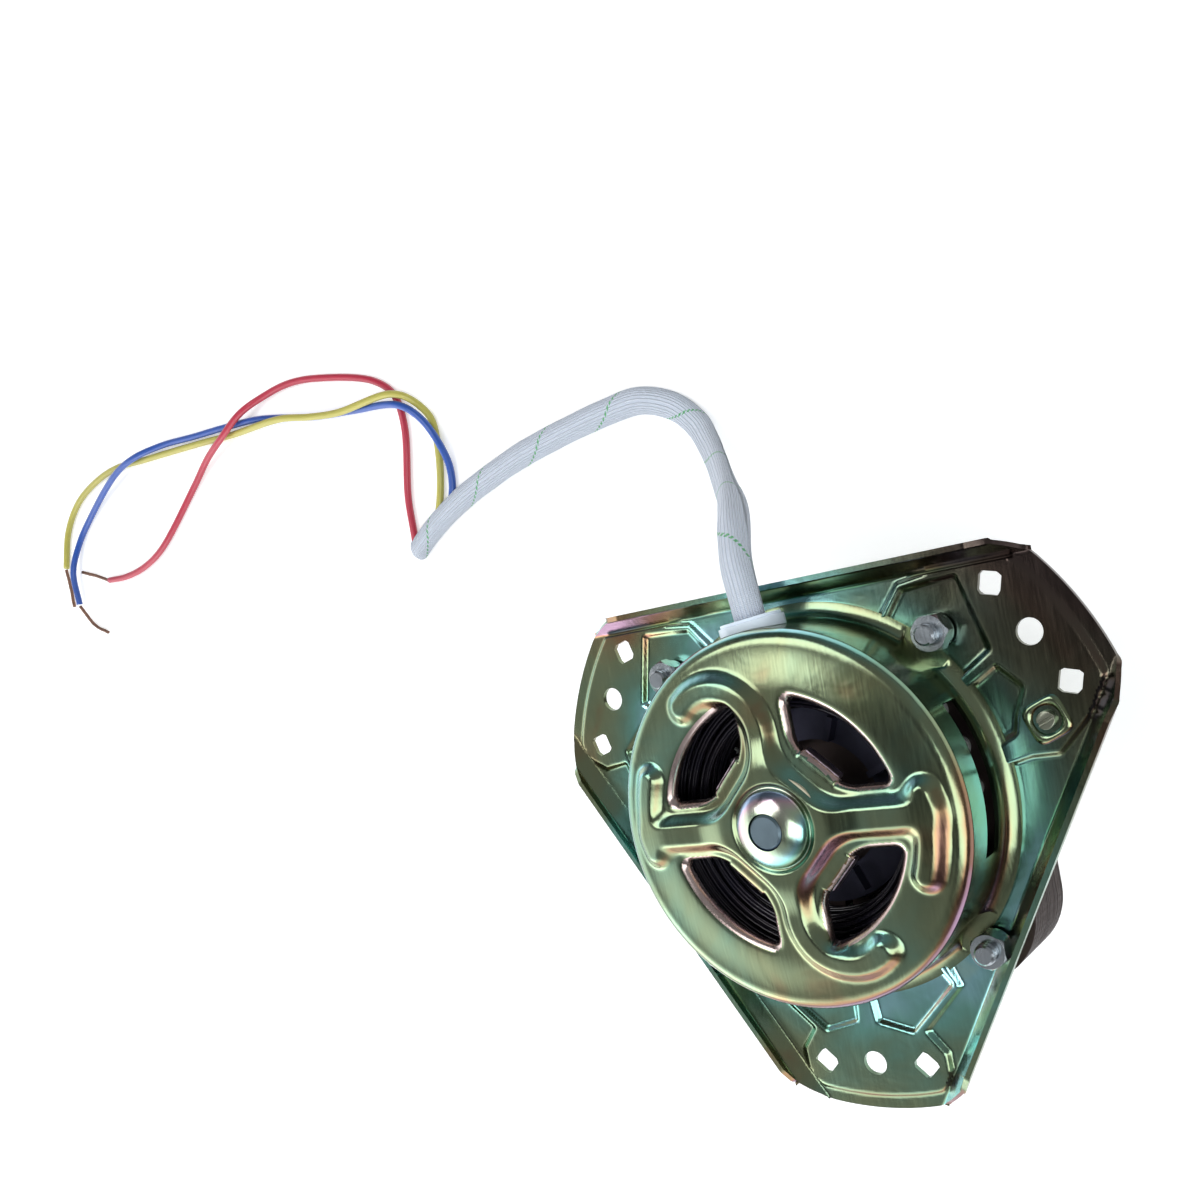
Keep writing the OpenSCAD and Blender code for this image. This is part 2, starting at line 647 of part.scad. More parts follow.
washer_z = web_top + cup_sheet;
spring_t = 1.5;
nut_z = washer_z + spring_t;
bolt_top = nut_z + nut_h + bolt_proud;
head_h = 4;
module bolt_places() for (a = bolt_angles) rotate(a) translate([bolt_r, 0, 0]) rotate(15) children();
module clamp_bolts() color([0.7, 0.7, 0.72]) bolt_places() {
    head_z = core_bot - cup_sheet;
    translate([0, 0, head_z]) cylinder(d = bolt_d, h = bolt_top - head_z - 0.6);
    translate([0, 0, bolt_top - 0.6]) cylinder(d1 = bolt_d, d2 = bolt_d - 1.2, h = 0.6);
    translate([0, 0, head_z - head_h]) cylinder(d = nut_w / cos(30), h = head_h, $fn = 6);
}
module clamp_nuts() color([0.75, 0.75, 0.77]) bolt_places() translate([0, 0, nut_z]) difference() {
    intersection() {
        cylinder(d = nut_w / cos(30), h = nut_h, $fn = 6);
        cylinder(r1 = nut_w / 2 + 3, r2 = nut_w / 2, h = nut_h);
        cylinder(r1 = nut_w / 2, r2 = nut_w / 2 + 8, h = nut_h);
    }
    translate([0, 0, -1]) cylinder(d = bolt_d + 2 * fit, h = nut_h + 2);
}
module spring_washers() color([0.68, 0.68, 0.7]) bolt_places() translate([0, 0, washer_z]) difference() {
    cylinder(r = nut_w / 2, h = spring_t);
    translate([0, 0, -1]) cylinder(d = bolt_d + 2 * fit, h = spring_t + 2);
    rotate([0, 20, 0]) translate([2, -0.5, -3]) cube([6, 1, 9]);
}

screw_d = 5;
screw_reach = 13;
screw_angle = 13.37;
screw_at = (flange_r + screw_reach) * [cos(screw_angle), sin(screw_angle)];
screw_nut_w = 9.6;
screw_nut_h = 2.4;
module screw_place() translate([screw_at[0], screw_at[1], 0]) rotate(22) children();
module plate_screw() color([0.65, 0.62, 0.5]) screw_place() difference() {
    union() {
        translate([0, 0, web_bot]) cylinder(d = screw_d, h = screw_nut_h - web_bot - 0.6);
        translate([0, 0, web_bot - 3 + pad_rise]) cylinder(d = 9, h = 3);
    }
    translate([-5, -0.5, screw_nut_h - 1.4]) cube([10, 1, 4]);
}
module screw_nut() color([0.6, 0.62, 0.5]) screw_place() difference() {
    linear_extrude(screw_nut_h) rounded_square2d(screw_nut_w, 3);
    translate([0, 0, screw_nut_h - 1]) cylinder(r1 = screw_d / 2 + 0.3, r2 = screw_nut_w / 2 - 1.6, h = 1 + overlap);
    translate([0, 0, -1]) cylinder(d = screw_d + 2 * fit, h = 10);
}

// Leads

gland_face = cup_r + gland_t;
gland_pocket = [sleeve_w + 0.8, sleeve_t + 0.8];
gland_floor = gland_face - 2.6;
module cable_gland() color([0.93, 0.95, 0.98]) difference() {
    gland_place() {
        translate([0, 0, cup_r - 4]) linear_extrude(gland_t + 4 - 1) oval2d(gland_w, gland_h);
        translate([0, 0, gland_face - 1]) linear_extrude(1) oval2d(gland_w - 1.4, gland_h - 1.4);
    }
    difference() {
        translate([0, 0, gland_z - 20]) cylinder(r = cup_r + fit, h = 40, $fn = 96);
        difference() {
            gland_place() linear_extrude(90) oval2d(gland_neck[0] - 2 * hole_clear, gland_neck[1] - 2 * hole_clear);
            translate([0, 0, gland_z - 20]) cylinder(r = cup_r - cup_sheet - 1.6, h = 40, $fn = 96);
        }
    }
    gland_place() translate([0, 0, gland_floor]) linear_extrude(9) oval2d(gland_pocket[0], gland_pocket[1]);
}

// Routes of the leads, chosen by hand. The first two points leave the gland square to its face.
sleeve_out = [cos(gland_angle), sin(gland_angle), 0];
sleeve_route = concat([[0, 0, gland_z] + sleeve_out * gland_floor, [0, 0, gland_z] + sleeve_out * 66], [
    [-8, 75, 10], [-11, 84, 3], [-17, 92, -9], [-34, 104, -35], [-53, 121, -62], [-62, 131, -71],
    [-72, 140, -74], [-86, 146, -74], [-104, 146, -74], [-146, 141, -74], [-168, 136, -74],
    [-188, 130, -74], [-206, 122, -74], [-221, 113, -74]
]);
red_route = [
    [-219, 116, -74], [-219, 124, -74.5], [-218, 138, -74.5], [-211, 168, -74.5], [-213, 182, -74.5],
    [-223, 191, -74.5], [-258, 202, -74.5], [-278, 205, -74.5], [-296, 204, -74], [-312, 200, -71],
    [-330, 192, -70.5], [-346, 186, -72.5], [-364, 176, -74.5], [-402, 152, -74.5], [-420, 146, -74.5],
    [-438, 144, -74.5], [-455, 145, -74.5]
];
red_end_route = [[-455.8, 145, -74.5], [-467, 149.5, -75], [-480, 154, -75]];
yellow_route = [
    [-203, 125, -74], [-200, 132, -74.5], [-196, 144, -74.5], [-194, 157, -74.5], [-195, 168, -74.5],
    [-201, 177, -71.5], [-211, 182, -70.5], [-246, 183, -70.5], [-265, 186, -71], [-284, 190, -70.5],
    [-326, 193, -74.5], [-350, 195, -74.5], [-402, 198.5, -74.5], [-426, 200, -74.5], [-448, 197, -74.5],
    [-468, 190, -74.5], [-484, 177, -74.5], [-494, 159, -74.5]
];
yellow_end_route = [[-494.4, 158.3, -74.5], [-495, 148, -75], [-496, 137, -75]];
blue_route = [
    [-194, 129, -74], [-191, 136, -74.5], [-189.5, 146, -74], [-191, 157, -71.5], [-197, 168, -70.5],
    [-207, 176, -70], [-240, 182.5, -74.5], [-264, 186, -74.5], [-304, 195, -74.5], [-328, 197.5, -74.5],
    [-356, 199.5, -74.5], [-382, 201.5, -74], [-402, 200, -70.5], [-422, 196, -71], [-460, 180, -74.5],
    [-475, 169, -74], [-484, 155, -72], [-486, 137, -72.5]
];
blue_end_route = [[-486, 136, -72.5], [-480, 124, -75], [-469, 118, -75]];
wire_sides = 8;
module lead_sleeve() color([0.88, 0.9, 0.95]) swept_tube(sleeve_route, sleeve_w, sleeve_t, 10);
module wire_red() color([0.72, 0.12, 0.25]) swept_tube(red_route, wire_d, wire_d, wire_sides);
module wire_yellow() color([0.72, 0.72, 0.3]) swept_tube(yellow_route, wire_d, wire_d, wire_sides);
module wire_blue() color([0.12, 0.28, 0.7]) swept_tube(blue_route, wire_d, wire_d, wire_sides);
module strands_red() color([0.5, 0.35, 0.3]) swept_tube(red_end_route, strand_d, strand_d, wire_sides);
module strands_yellow() color([0.5, 0.35, 0.3]) swept_tube(yellow_end_route, strand_d, strand_d, wire_sides);
module strands_blue() color([0.5, 0.35, 0.3]) swept_tube(blue_end_route, strand_d, strand_d, wire_sides);

mounting_plate();
end_cup();
front_housing();
stator_core();
slot_liners();
rear_winding();
front_winding();
shaft();
rotor_core();
rotor_cage();
rear_spacer();
rear_washers();
front_spacer();
front_washers();
shaft_slinger();
rear_bush();
rear_bush_clip();
rear_felt();
front_bush();
front_bush_clip();
front_felt();
clamp_bolts();
clamp_nuts();
spring_washers();
plate_screw();
screw_nut();
cable_gland();
lead_sleeve();
wire_red();
wire_yellow();
wire_blue();
strands_red();
strands_yellow();
strands_blue();
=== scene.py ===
"""Spin motor: camera, leads, pressed steel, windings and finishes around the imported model."""
import cmath
import math
from contextlib import contextmanager

import bmesh
import bpy
import numpy as np
from mathutils import Matrix, Vector


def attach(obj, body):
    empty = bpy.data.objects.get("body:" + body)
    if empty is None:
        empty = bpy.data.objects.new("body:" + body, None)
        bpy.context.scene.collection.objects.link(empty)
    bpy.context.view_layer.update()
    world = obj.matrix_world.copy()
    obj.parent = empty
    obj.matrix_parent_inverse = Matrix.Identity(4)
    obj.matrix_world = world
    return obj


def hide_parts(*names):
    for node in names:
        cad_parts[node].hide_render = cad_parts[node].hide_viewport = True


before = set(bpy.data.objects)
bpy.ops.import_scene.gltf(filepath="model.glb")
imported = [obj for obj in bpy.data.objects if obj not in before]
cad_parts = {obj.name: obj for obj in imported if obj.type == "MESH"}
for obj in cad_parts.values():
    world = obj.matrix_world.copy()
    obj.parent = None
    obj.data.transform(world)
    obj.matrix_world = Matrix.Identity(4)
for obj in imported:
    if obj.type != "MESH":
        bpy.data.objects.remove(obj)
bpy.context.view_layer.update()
MM = 0.001


def node_object(name):
    return bpy.data.objects.get(name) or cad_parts[name]


def add_object(name, data):
    piece = bpy.data.objects.new(name, data)
    bpy.context.scene.collection.objects.link(piece)
    return piece


# Camera

CAMERA_AT = Vector((186.8, 64.1, 330.6)) * MM
CAMERA_AHEAD = Vector((-0.5839, -0.0766, -0.8082))
CAMERA_RIGHT = Vector((0.8030, -0.2003, -0.5612))
FOCAL_PX = 1266.7
CENTRE_PX = (663.7, 716.7)
PHOTO_PX = 1200


def make_camera():
    data = bpy.data.cameras.new("camera")
    data.sensor_width = 36
    data.lens = FOCAL_PX / PHOTO_PX * data.sensor_width
    data.shift_x = (PHOTO_PX / 2 - CENTRE_PX[0]) / PHOTO_PX
    data.shift_y = (CENTRE_PX[1] - PHOTO_PX / 2) / PHOTO_PX
    data.clip_start = 0.01
    camera = add_object("camera", data)
    back = -CAMERA_AHEAD.normalized()
    right = (CAMERA_RIGHT - back * CAMERA_RIGHT.dot(back)).normalized()
    up = back.cross(right)
    camera.matrix_world = Matrix.Translation(CAMERA_AT) @ Matrix((right, up, back)).transposed().to_4x4()
    bpy.context.scene.camera = camera


make_camera()

# Mesh helpers


def mesh_object(name, vertices, faces, material, smooth=True, uv=None):
    mesh = bpy.data.meshes.new(name)
    mesh.from_pydata([tuple(v) for v in vertices], [], [tuple(f) for f in faces])
    if uv is not None:
        layer = mesh.uv_layers.new(name="UVMap")
        for loop in mesh.loops:
            layer.data[loop.index].uv = uv[loop.vertex_index]
    mesh.validate()
    mesh.shade_smooth() if smooth else mesh.shade_flat()
    mesh.materials.append(material)
    return add_object(name, mesh)


def settle(piece, slot_name, node=None):
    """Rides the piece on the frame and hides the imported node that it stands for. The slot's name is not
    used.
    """
    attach(piece, "frame")
    if node:
        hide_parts(node)


def apply_modifiers(piece):
    piece.data = bpy.data.meshes.new_from_object(piece.evaluated_get(bpy.context.evaluated_depsgraph_get()))
    piece.modifiers.clear()


@contextmanager
def editing(piece):
    """The piece's mesh as a bmesh, written back at the end."""
    work = bmesh.new()
    work.from_mesh(piece.data)
    yield work
    work.to_mesh(piece.data)
    work.free()


def fix_normals(piece):
    with editing(piece) as work:
        bmesh.ops.recalc_face_normals(work, faces=work.faces)


def edges_sharp(piece, degrees):
    piece.data.shade_smooth()
    piece.data.set_sharp_from_angle(angle=math.radians(degrees))


def polar(radius, degrees):
    angle = math.radians(degrees)
    return radius * math.cos(angle), radius * math.sin(angle)


def circle(sides):
    """The cosine and sine of angles that are evenly spread round a circle."""
    return [(math.cos(k * math.tau / sides), math.sin(k * math.tau / sides)) for k in range(sides)]


def heading(path, i):
    return (path[min(i + 1, len(path) - 1)] - path[max(i - 1, 0)]).normalized()


def across(ahead):
    """A level direction across the way ahead, and the one square to both."""
    side = Vector((ahead.y, -ahead.x, 0)).normalized() if abs(ahead.z) < 0.9 else Vector((1, 0, 0))
    return side, side.cross(ahead)


def join_rings(faces, start, rings, sides, closed=False, capped=True):
    """Faces between rings of points that follow each other from start, and the two end caps."""
    for i in range(rings if closed else rings - 1):
        step = ((i + 1) % rings - i) * sides
        for k in range(sides):
            a, b = start + i * sides + k, start + i * sides + (k + 1) % sides
            faces.append((a, b, b + step, a + step))
    if capped and not closed:
        last = start + (rings - 1) * sides
        faces += [range(start, start + sides)[::-1], range(last, last + sides)]


def smooth_route(points, step):
    """A smooth curve through the points, sampled about every step, by centripetal splines."""
    p = [Vector(q) for q in points]
    p = [p[0] * 2 - p[1]] + p + [p[-1] * 2 - p[-2]]
    out = []
    for i in range(1, len(p) - 2):
        a, b, c, d = p[i - 1:i + 3]
        t0, t1 = 0.0, (b - a).length ** 0.5
        t2 = t1 + (c - b).length ** 0.5
        t3 = t2 + (d - c).length ** 0.5
        count = max(2, int((c - b).length / step))
        for k in range(count):
            t = t1 + (t2 - t1) * k / count
            ab = a.lerp(b, (t - t0) / (t1 - t0))
            bc = b.lerp(c, (t - t1) / (t2 - t1))
            cd = c.lerp(d, (t - t2) / (t3 - t2))
            early, late = ab.lerp(bc, (t - t0) / (t2 - t0)), bc.lerp(cd, (t - t1) / (t3 - t1))
            out.append(early.lerp(late, (t - t1) / (t2 - t1)))
    out.append(p[-2])
    return out


def route_length(points):
    return sum((b - a).length for a, b in zip(points, points[1:]))


def tube(name, path, outline, material, level=True):
    """A tube along path. outline(t) gives the ring's points (across, up) at the length t."""
    vertices, faces, uv = [], [], []
    side = carried = None
    travelled = 0.0
    for i, point in enumerate(path):
        if i:
            travelled += (point - path[i - 1]).length
        ahead = heading(path, i)
        if level or side is None:
            side = across(ahead)[0]
        else:
            side = (side - ahead * side.dot(ahead)).normalized()
        up = side.cross(ahead)
        # The surface coordinate is counted from a direction that is carried along without a twist.
        carried = side if carried is None else (carried - ahead * carried.dot(ahead)).normalized()
        twist = math.atan2(carried.dot(up), carried.dot(side)) / math.tau
        ring = outline(travelled)
        for k, (out, rise) in enumerate(ring):
            vertices.append(point + side * out + up * rise)
            uv.append((k / len(ring) - twist, travelled))
    join_rings(faces, 0, len(path), len(ring))
    piece = mesh_object(name, vertices, faces, material, uv=uv)
    fix_normals(piece)
    return piece


def strands_along(middle, count, place, radius, sides):
    """Strands laid round a middle line. place(strand, i) gives a strand's angle and distance from it."""
    vertices, faces = [], []
    section = circle(sides)
    for strand in range(count):
        start = len(vertices)
        for i, point in enumerate(middle):
            side, up = across(heading(middle, i))
            angle, out = place(strand, i)
            centre = point + (side * math.cos(angle) + up * math.sin(angle)) * out
            vertices += [centre + (side * c + up * d) * radius for c, d in section]
        join_rings(faces, start, len(middle), sides)
    return vertices, faces


# Node helpers


class Flow:
    """A number that runs through a node tree. Arithmetic on it adds Math nodes."""

    def __init__(self, nodes, socket):
        self.nodes, self.socket = nodes, socket

    def __add__(self, other):
        return self.nodes.math("ADD", self, other)

    def __sub__(self, other):
        return self.nodes.math("SUBTRACT", self, other)

    def __rsub__(self, other):
        return self.nodes.math("SUBTRACT", other, self)

    def __mul__(self, other):
        return self.nodes.math("MULTIPLY", self, other)


class Nodes:
    """Short ways to add nodes to a tree and feed their inputs."""

    def __init__(self, tree):
        self.tree = tree

    def feed(self, value, socket):
        if isinstance(value, Flow):
            value = value.socket
        if isinstance(value, bpy.types.NodeSocket):
            self.tree.links.new(value, socket)
        else:
            socket.default_value = (*value, 1) if socket.type == "RGBA" else value

    def add(self, kind, inputs=None, **settings):
        node = self.tree.nodes.new(kind)
        for key, value in settings.items():
            setattr(node, key, value)
        for key, value in (inputs or {}).items():
            self.feed(value, node.inputs[key])
        return node

    def first(self, kind, inputs=None, **settings):
        """Adds a node and gives its first output."""
        return self.add(kind, inputs, **settings).outputs[0]

    def math(self, operation, a, b=0.0, clamp=False):
        return Flow(self, self.first("ShaderNodeMath", {0: a, 1: b}, operation=operation, use_clamp=clamp))

    def wave(self, turns):
        return self.math("SINE", turns * math.tau)

    def noise(self, vector, scale, detail, distort=0.0):
        return Flow(self, self.first("ShaderNodeTexNoise", {
            "Vector": vector, "Scale": scale, "Detail": detail, "Distortion": distort}))

    def split(self, vector):
        return [Flow(self, part) for part in self.add("ShaderNodeSeparateXYZ", {0: vector}).outputs]

    def ramp(self, fac, stops):
        node = self.add("ShaderNodeValToRGB", {"Fac": fac})
        elements = node.color_ramp.elements
        while len(elements) < len(stops):
            elements.new(0.5)
        for element, (place, colour) in zip(elements, stops):
            element.position = place
            element.color = (*colour, 1)
        return node.outputs["Color"]

    def mix(self, fac, a, b):
        return self.add("ShaderNodeMix", {"Factor": fac, "A": a, "B": b}, data_type="RGBA").outputs["Result"]


def handling_group():
    """Soft blotches and fine scratches that every plated piece shares."""
    group = bpy.data.node_groups.new("handling marks", "ShaderNodeTree")
    for name, way, kind in (("Vector", "INPUT", "Vector"), ("Blotch", "OUTPUT", "Float"),
                            ("Scratch", "OUTPUT", "Float")):
        group.interface.new_socket(name, in_out=way, socket_type="NodeSocket" + kind)
    n = Nodes(group)
    vector = n.add("NodeGroupInput").outputs["Vector"]
    stretched = n.first("ShaderNodeMapping", {
        "Vector": vector, "Scale": (900, 60, 300), "Rotation": (0, 0, 0.6)})
    n.add("NodeGroupOutput", {
        "Blotch": n.noise(vector, 60, detail=4), "Scratch": n.noise(stretched, 1.5, detail=2)})
    return group


HANDLING = handling_group()


class Shader(Nodes):
    """A new material with its Principled BSDF, and short ways to feed it."""

    def __init__(self, name, **constants):
        self.material = bpy.data.materials.new(name)
        self.material.use_nodes = True
        super().__init__(self.material.node_tree)
        self.main = self.tree.nodes["Principled BSDF"].inputs
        for key, value in constants.items():
            self.feed(value, self.main[key.replace("_", " ")])

    def coords(self, scale=(1, 1, 1)):
        place = self.add("ShaderNodeTexCoord").outputs["Object"]
        return self.first("ShaderNodeMapping", {"Vector": place, "Scale": scale})

    def handling(self, vector):
        node = self.add("ShaderNodeGroup", {"Vector": vector}, node_tree=HANDLING)
        return Flow(self, node.outputs["Blotch"]), Flow(self, node.outputs["Scratch"])

    def bump(self, height, distance, strength):
        node = self.add("ShaderNodeBump", {"Height": height, "Distance": distance, "Strength": strength})
        self.feed(node.outputs["Normal"], self.main["Normal"])

    def rough(self, value):
        self.feed(value, self.main["Roughness"])

    def colour(self, socket):
        self.feed(socket, self.main["Base Color"])
        return self.material


# Finishes


def chromate(name, tone, vivid=1.0, drift=0.0, painted_shade_corner=False):
    """Yellow-green passivated steel: olive on the flats, teal, lilac and brown on the slopes, where the
    slope's facing adds painted light and shade.
    """
    s = Shader(name, Metallic=1.0)
    vector = s.coords()
    fine = s.noise(vector, 48, detail=3, distort=0.8)
    blotch, scratch = s.handling(vector)
    normal_x, normal_y, normal_z = s.split(s.add("ShaderNodeTexCoord").outputs["Normal"])
    upright = s.math("ABSOLUTE", normal_z)
    slope = upright * 3.2 * (1.0 - upright)
    film = s.noise(vector, 11, detail=2, distort=1.5) * (0.55 * vivid) + fine * 0.22
    # Painted light and shade: the film is shifted by the way each slope faces, so slopes turned towards +y
    # and -x come out lighter teal and blue, and slopes turned the other way come out brown, as lit and
    # shaded sides would.
    film = film + (tone + 0.08 - 0.27 * (vivid - 1)) + slope * (normal_x * -0.26 + normal_y * 0.50)
    if drift:
        far = Flow(s, s.add("ShaderNodeVectorMath", {0: vector}, operation="LENGTH").outputs["Value"])
        film = film + s.math("ADD", far * 45.0, -2.9, clamp=True) * drift
    bands = s.ramp(film, [
        (0.02, (0.36, 0.22, 0.34)), (0.13, (0.24, 0.11, 0.10)), (0.24, (0.28, 0.17, 0.09)),
        (0.34, (0.22, 0.26, 0.15)), (0.43, (0.20, 0.27, 0.17)), (0.52, (0.17, 0.31, 0.23)),
        (0.60, (0.18, 0.44, 0.38)), (0.69, (0.30, 0.60, 0.66)), (0.79, (0.48, 0.62, 0.44)),
        (0.89, (0.62, 0.44, 0.52)), (0.98, (0.32, 0.44, 0.64)),
    ])
    plating = s.mix(blotch * 0.25, bands, (0.20, 0.20, 0.12))
    # Painted shade: towards the corner where x + y grows, on the plate's top-right lobe, the plating is
    # darkened to near black as a painted dark reflection of the room.
    if painted_shade_corner:
        x, y, _ = s.split(vector)
        plating = s.mix(s.math("SUBTRACT", (x + y) * 14.0, 0.85, clamp=True), plating, (0.08, 0.06, 0.055))
    s.rough(scratch * 0.14 + blotch * 0.12 + 0.07)
    s.bump(scratch * 0.35 + fine * (3.2 * vivid), 0.00006, 0.8)
    return s.colour(plating)


def plated(name, colour, roughness, dark, grain=220):
    s = Shader(name, Metallic=1.0)
    vector = s.coords()
    blotch, scratch = s.handling(vector)
    grime = s.noise(vector, grain, detail=4)
    s.rough(grime * 0.25 + (roughness - 0.1))
    s.bump(grime + scratch, 0.00005, 0.5)
    return s.colour(s.mix(s.math("MULTIPLY", s.math("POWER", blotch, 1.5), 1.1, clamp=True), colour, dark))


def laminated(name):
    """Oxidised core steel, streaked along the sheets."""
    s = Shader(name, Metallic=0.75)
    vector = s.coords(scale=(1, 1, 12))
    uneven = s.noise(vector, 90, detail=3)
    s.bump(uneven, 0.00005, 0.6)
    s.rough(uneven * 0.3 + 0.28)
    return s.colour(s.mix(s.handling(vector)[0], (0.028, 0.020, 0.021), (0.078, 0.058, 0.052)))


def plain(name, colour, roughness, other=None, grain=90, depth=0.00005, **constants):
    s = Shader(name, **constants)
    vector = s.coords()
    patch = s.noise(vector, grain, detail=4)
    s.bump(s.noise(vector, grain * 12, detail=2), depth, 0.6)
    s.rough(patch * 0.2 + (roughness - 0.1))
    return s.colour(s.mix(patch * 0.5, colour, other or tuple(c * 0.7 for c in colour)))


YARNS = 30
TRACER_TURNS = 27.0


def braided(name):
    """A soft sleeve of fine crossing yarns, with a green tracer yarn that winds along it."""
    s = Shader(name, Roughness=0.75, Sheen_Weight=0.4)
    around, length, _ = s.split(s.first("ShaderNodeUVMap", uv_map="UVMap"))
    yarn, lean = around * YARNS, length * 950.0
    weave = s.wave(yarn + lean) * s.wave(yarn - lean) * 0.5 + 0.5
    ridge = s.wave(yarn)
    puff = s.noise(s.coords(), 240, detail=4)
    s.bump(weave + ridge * 0.6 + puff * 1.6, 0.00030, 0.9)
    # The weave and ridge that shape the bump also set the colour: painted shade in the hollows between the
    # yarns and a painted highlight on their crests. The puff noise is the yarns' own uneven tone.
    yarns = s.mix(weave, (0.38, 0.45, 0.56), (0.70, 0.77, 0.88))
    yarns = s.mix(ridge * 0.22 + 0.22, yarns, (0.80, 0.85, 0.93))
    yarns = s.mix(puff * 0.5, yarns, (0.55, 0.62, 0.74))
    phase = s.math("FRACT", around - length * TRACER_TURNS)
    tracer = s.math("LESS_THAN", s.math("ABSOLUTE", phase - 0.5), 0.02)
    dash = s.math("GREATER_THAN", s.wave(length * 620), -0.3)
    return s.colour(s.mix(tracer * dash * 0.9, yarns, (0.03, 0.38, 0.10)))


CHROMATE = chromate("chromate", -0.05, vivid=1.25)
# The plate's finish carries the painted shade of its top-right lobe.
CHROMATE_PLATE = chromate("chromate of the plate", 0.19, vivid=1.6, drift=-0.32, painted_shade_corner=True)
CHROMATE_FRONT = chromate("chromate of the front housing", -0.05)
CORE = laminated("lamination edges")
ZINC = plated("zinc", (0.50, 0.55, 0.60), 0.22, (0.20, 0.22, 0.22))
DOME = chromate("chromate of the dome", 0.34)
LIPS = plated("bright window lips", (0.62, 0.52, 0.50), 0.22, (0.34, 0.25, 0.22))
LANCED = plated("lanced edges", (0.62, 0.52, 0.60), 0.3, (0.46, 0.36, 0.42))
SHAFT = plated("ground steel", (0.16, 0.22, 0.26), 0.42, (0.11, 0.15, 0.17))
# Painted shade: the aluminium cage is given a near black colour for the dark inside of the motor, in place
# of its own grey.
CAGE = plated("aluminium cage darkened with painted shade", (0.07, 0.07, 0.10), 0.5, (0.03, 0.03, 0.05), grain=120)
BRONZE = plated("sintered bronze", (0.55, 0.36, 0.18), 0.5, (0.35, 0.22, 0.12))
SCREW = plated("passivated screw", (0.36, 0.38, 0.30), 0.26, (0.14, 0.15, 0.11))
FELT = plain("felt", (0.62, 0.56, 0.42), 0.9, grain=200, depth=0.0003)
NYLON = plain("nylon", (0.76, 0.86, 0.97), 0.3, (0.68, 0.80, 0.94))
FIBRE = plain("fibre washers", (0.30, 0.12, 0.06), 0.6)
RUBBER = plain("black rubber", (0.02, 0.02, 0.02), 0.6)
LINER = plain("slot film", (0.62, 0.66, 0.64), 0.4)
# The wire's own dark blue varnish is darkened further with painted shade for the dark inside of the motor.
VARNISH = plain("varnished wire darkened with painted shade", (0.007, 0.008, 0.016), 0.22, (0.022, 0.013, 0.014), 160, Coat_Weight=0.3)
BRAID = braided("braided sleeve")
RED = plain("crimson insulation", (0.50, 0.025, 0.06), 0.36, (0.36, 0.02, 0.05), Coat_Weight=0.15)
YELLOW = plain("olive yellow insulation", (0.50, 0.46, 0.09), 0.38, (0.38, 0.36, 0.08), Coat_Weight=0.15)
BLUE = plain("royal blue insulation", (0.018, 0.09, 0.42), 0.36, (0.015, 0.06, 0.30), Coat_Weight=0.15)
COPPER = plated("bare strands", (0.36, 0.20, 0.13), 0.42, (0.15, 0.10, 0.09))

for finish, finished in (
    (CHROMATE, "end_cup screw_nut"), (CHROMATE_PLATE, "mounting_plate"), (CHROMATE_FRONT, "front_housing"),
    (CORE, "stator_core rotor_core"), (VARNISH, "front_winding rear_winding"), (SHAFT, "shaft"),
    (ZINC, "rear_bush_clip front_bush_clip clamp_bolts clamp_nuts spring_washers"),
    (NYLON, "rear_spacer front_spacer cable_gland"), (FIBRE, "rear_washers front_washers"),
    (BRONZE, "rear_bush front_bush"), (FELT, "rear_felt front_felt"), (LINER, "slot_liners"),
    (CAGE, "rotor_cage"), (RUBBER, "shaft_slinger"), (SCREW, "plate_screw"),
):
    for name in finished.split():
        materials = node_object(name).data.materials
        materials.clear()
        materials.append(finish)

# Leads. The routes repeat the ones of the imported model, in millimetres, and a point without a height
# is on a wire that rests on the floor.

GLAND_ANGLE = 95
GLAND_OUT = Vector((*polar(1, GLAND_ANGLE), 0))
SLEEVE_ROUTE = [Vector((0, 0, 13)) + GLAND_OUT * r for r in (56.5, 66)] + [
    (-8, 75, 10), (-11, 84, 3), (-17, 92, -9), (-34, 104, -35), (-53, 121, -62), (-62, 131, -71),
    (-72, 140, -74), (-86, 146, -74), (-104, 146, -74), (-146, 141, -74), (-168, 136, -74),
    (-188, 130, -74), (-206, 122, -74), (-221, 113, -74),
]
# Colour, finish, route of the insulated length, route of the bare end
WIRES = (
    ("red", RED, [
        (-219, 116, -74), (-219, 124), (-218, 138), (-211, 168), (-213, 182), (-223, 191), (-258, 202),
        (-278, 205), (-296, 204, -74), (-312, 200, -71), (-330, 192, -70.5), (-346, 186, -72.5),
        (-364, 176), (-402, 152), (-420, 146), (-438, 144), (-455, 145),
    ], [(-455.8, 145, -74.5), (-467, 149.5, -75), (-480, 154, -75)]),
    ("yellow", YELLOW, [
        (-203, 125, -74), (-200, 132), (-196, 144), (-194, 157), (-195, 168), (-201, 177, -71.5),
        (-211, 182, -70.5), (-246, 183, -70.5), (-265, 186, -71), (-284, 190, -70.5), (-326, 193),
        (-350, 195), (-402, 198.5), (-426, 200), (-448, 197), (-468, 190), (-484, 177), (-494, 159),
    ], [(-494.4, 158.3, -74.5), (-495, 148, -75), (-496, 137, -75)]),
    ("blue", BLUE, [
        (-194, 129, -74), (-191, 136), (-189.5, 146, -74), (-191, 157, -71.5), (-197, 168, -70.5),
        (-207, 176, -70), (-240, 182.5), (-264, 186), (-304, 195), (-328, 197.5), (-356, 199.5),
        (-382, 201.5, -74), (-402, 200, -70.5), (-422, 196, -71), (-460, 180), (-475, 169, -74),
        (-484, 155, -72), (-486, 137, -72.5),
    ], [(-486, 136, -72.5), (-480, 124, -75), (-469, 118, -75)]),
)
RESTING_Z = -74.5
SLEEVE_WIDTH = 10.6 * MM
SLEEVE_THICK = 4.3 * MM
WIRE = 3.2 * MM


def in_metres(route):
    return [Vector(p if len(p) == 3 else (*p, RESTING_Z)) * MM for p in route]


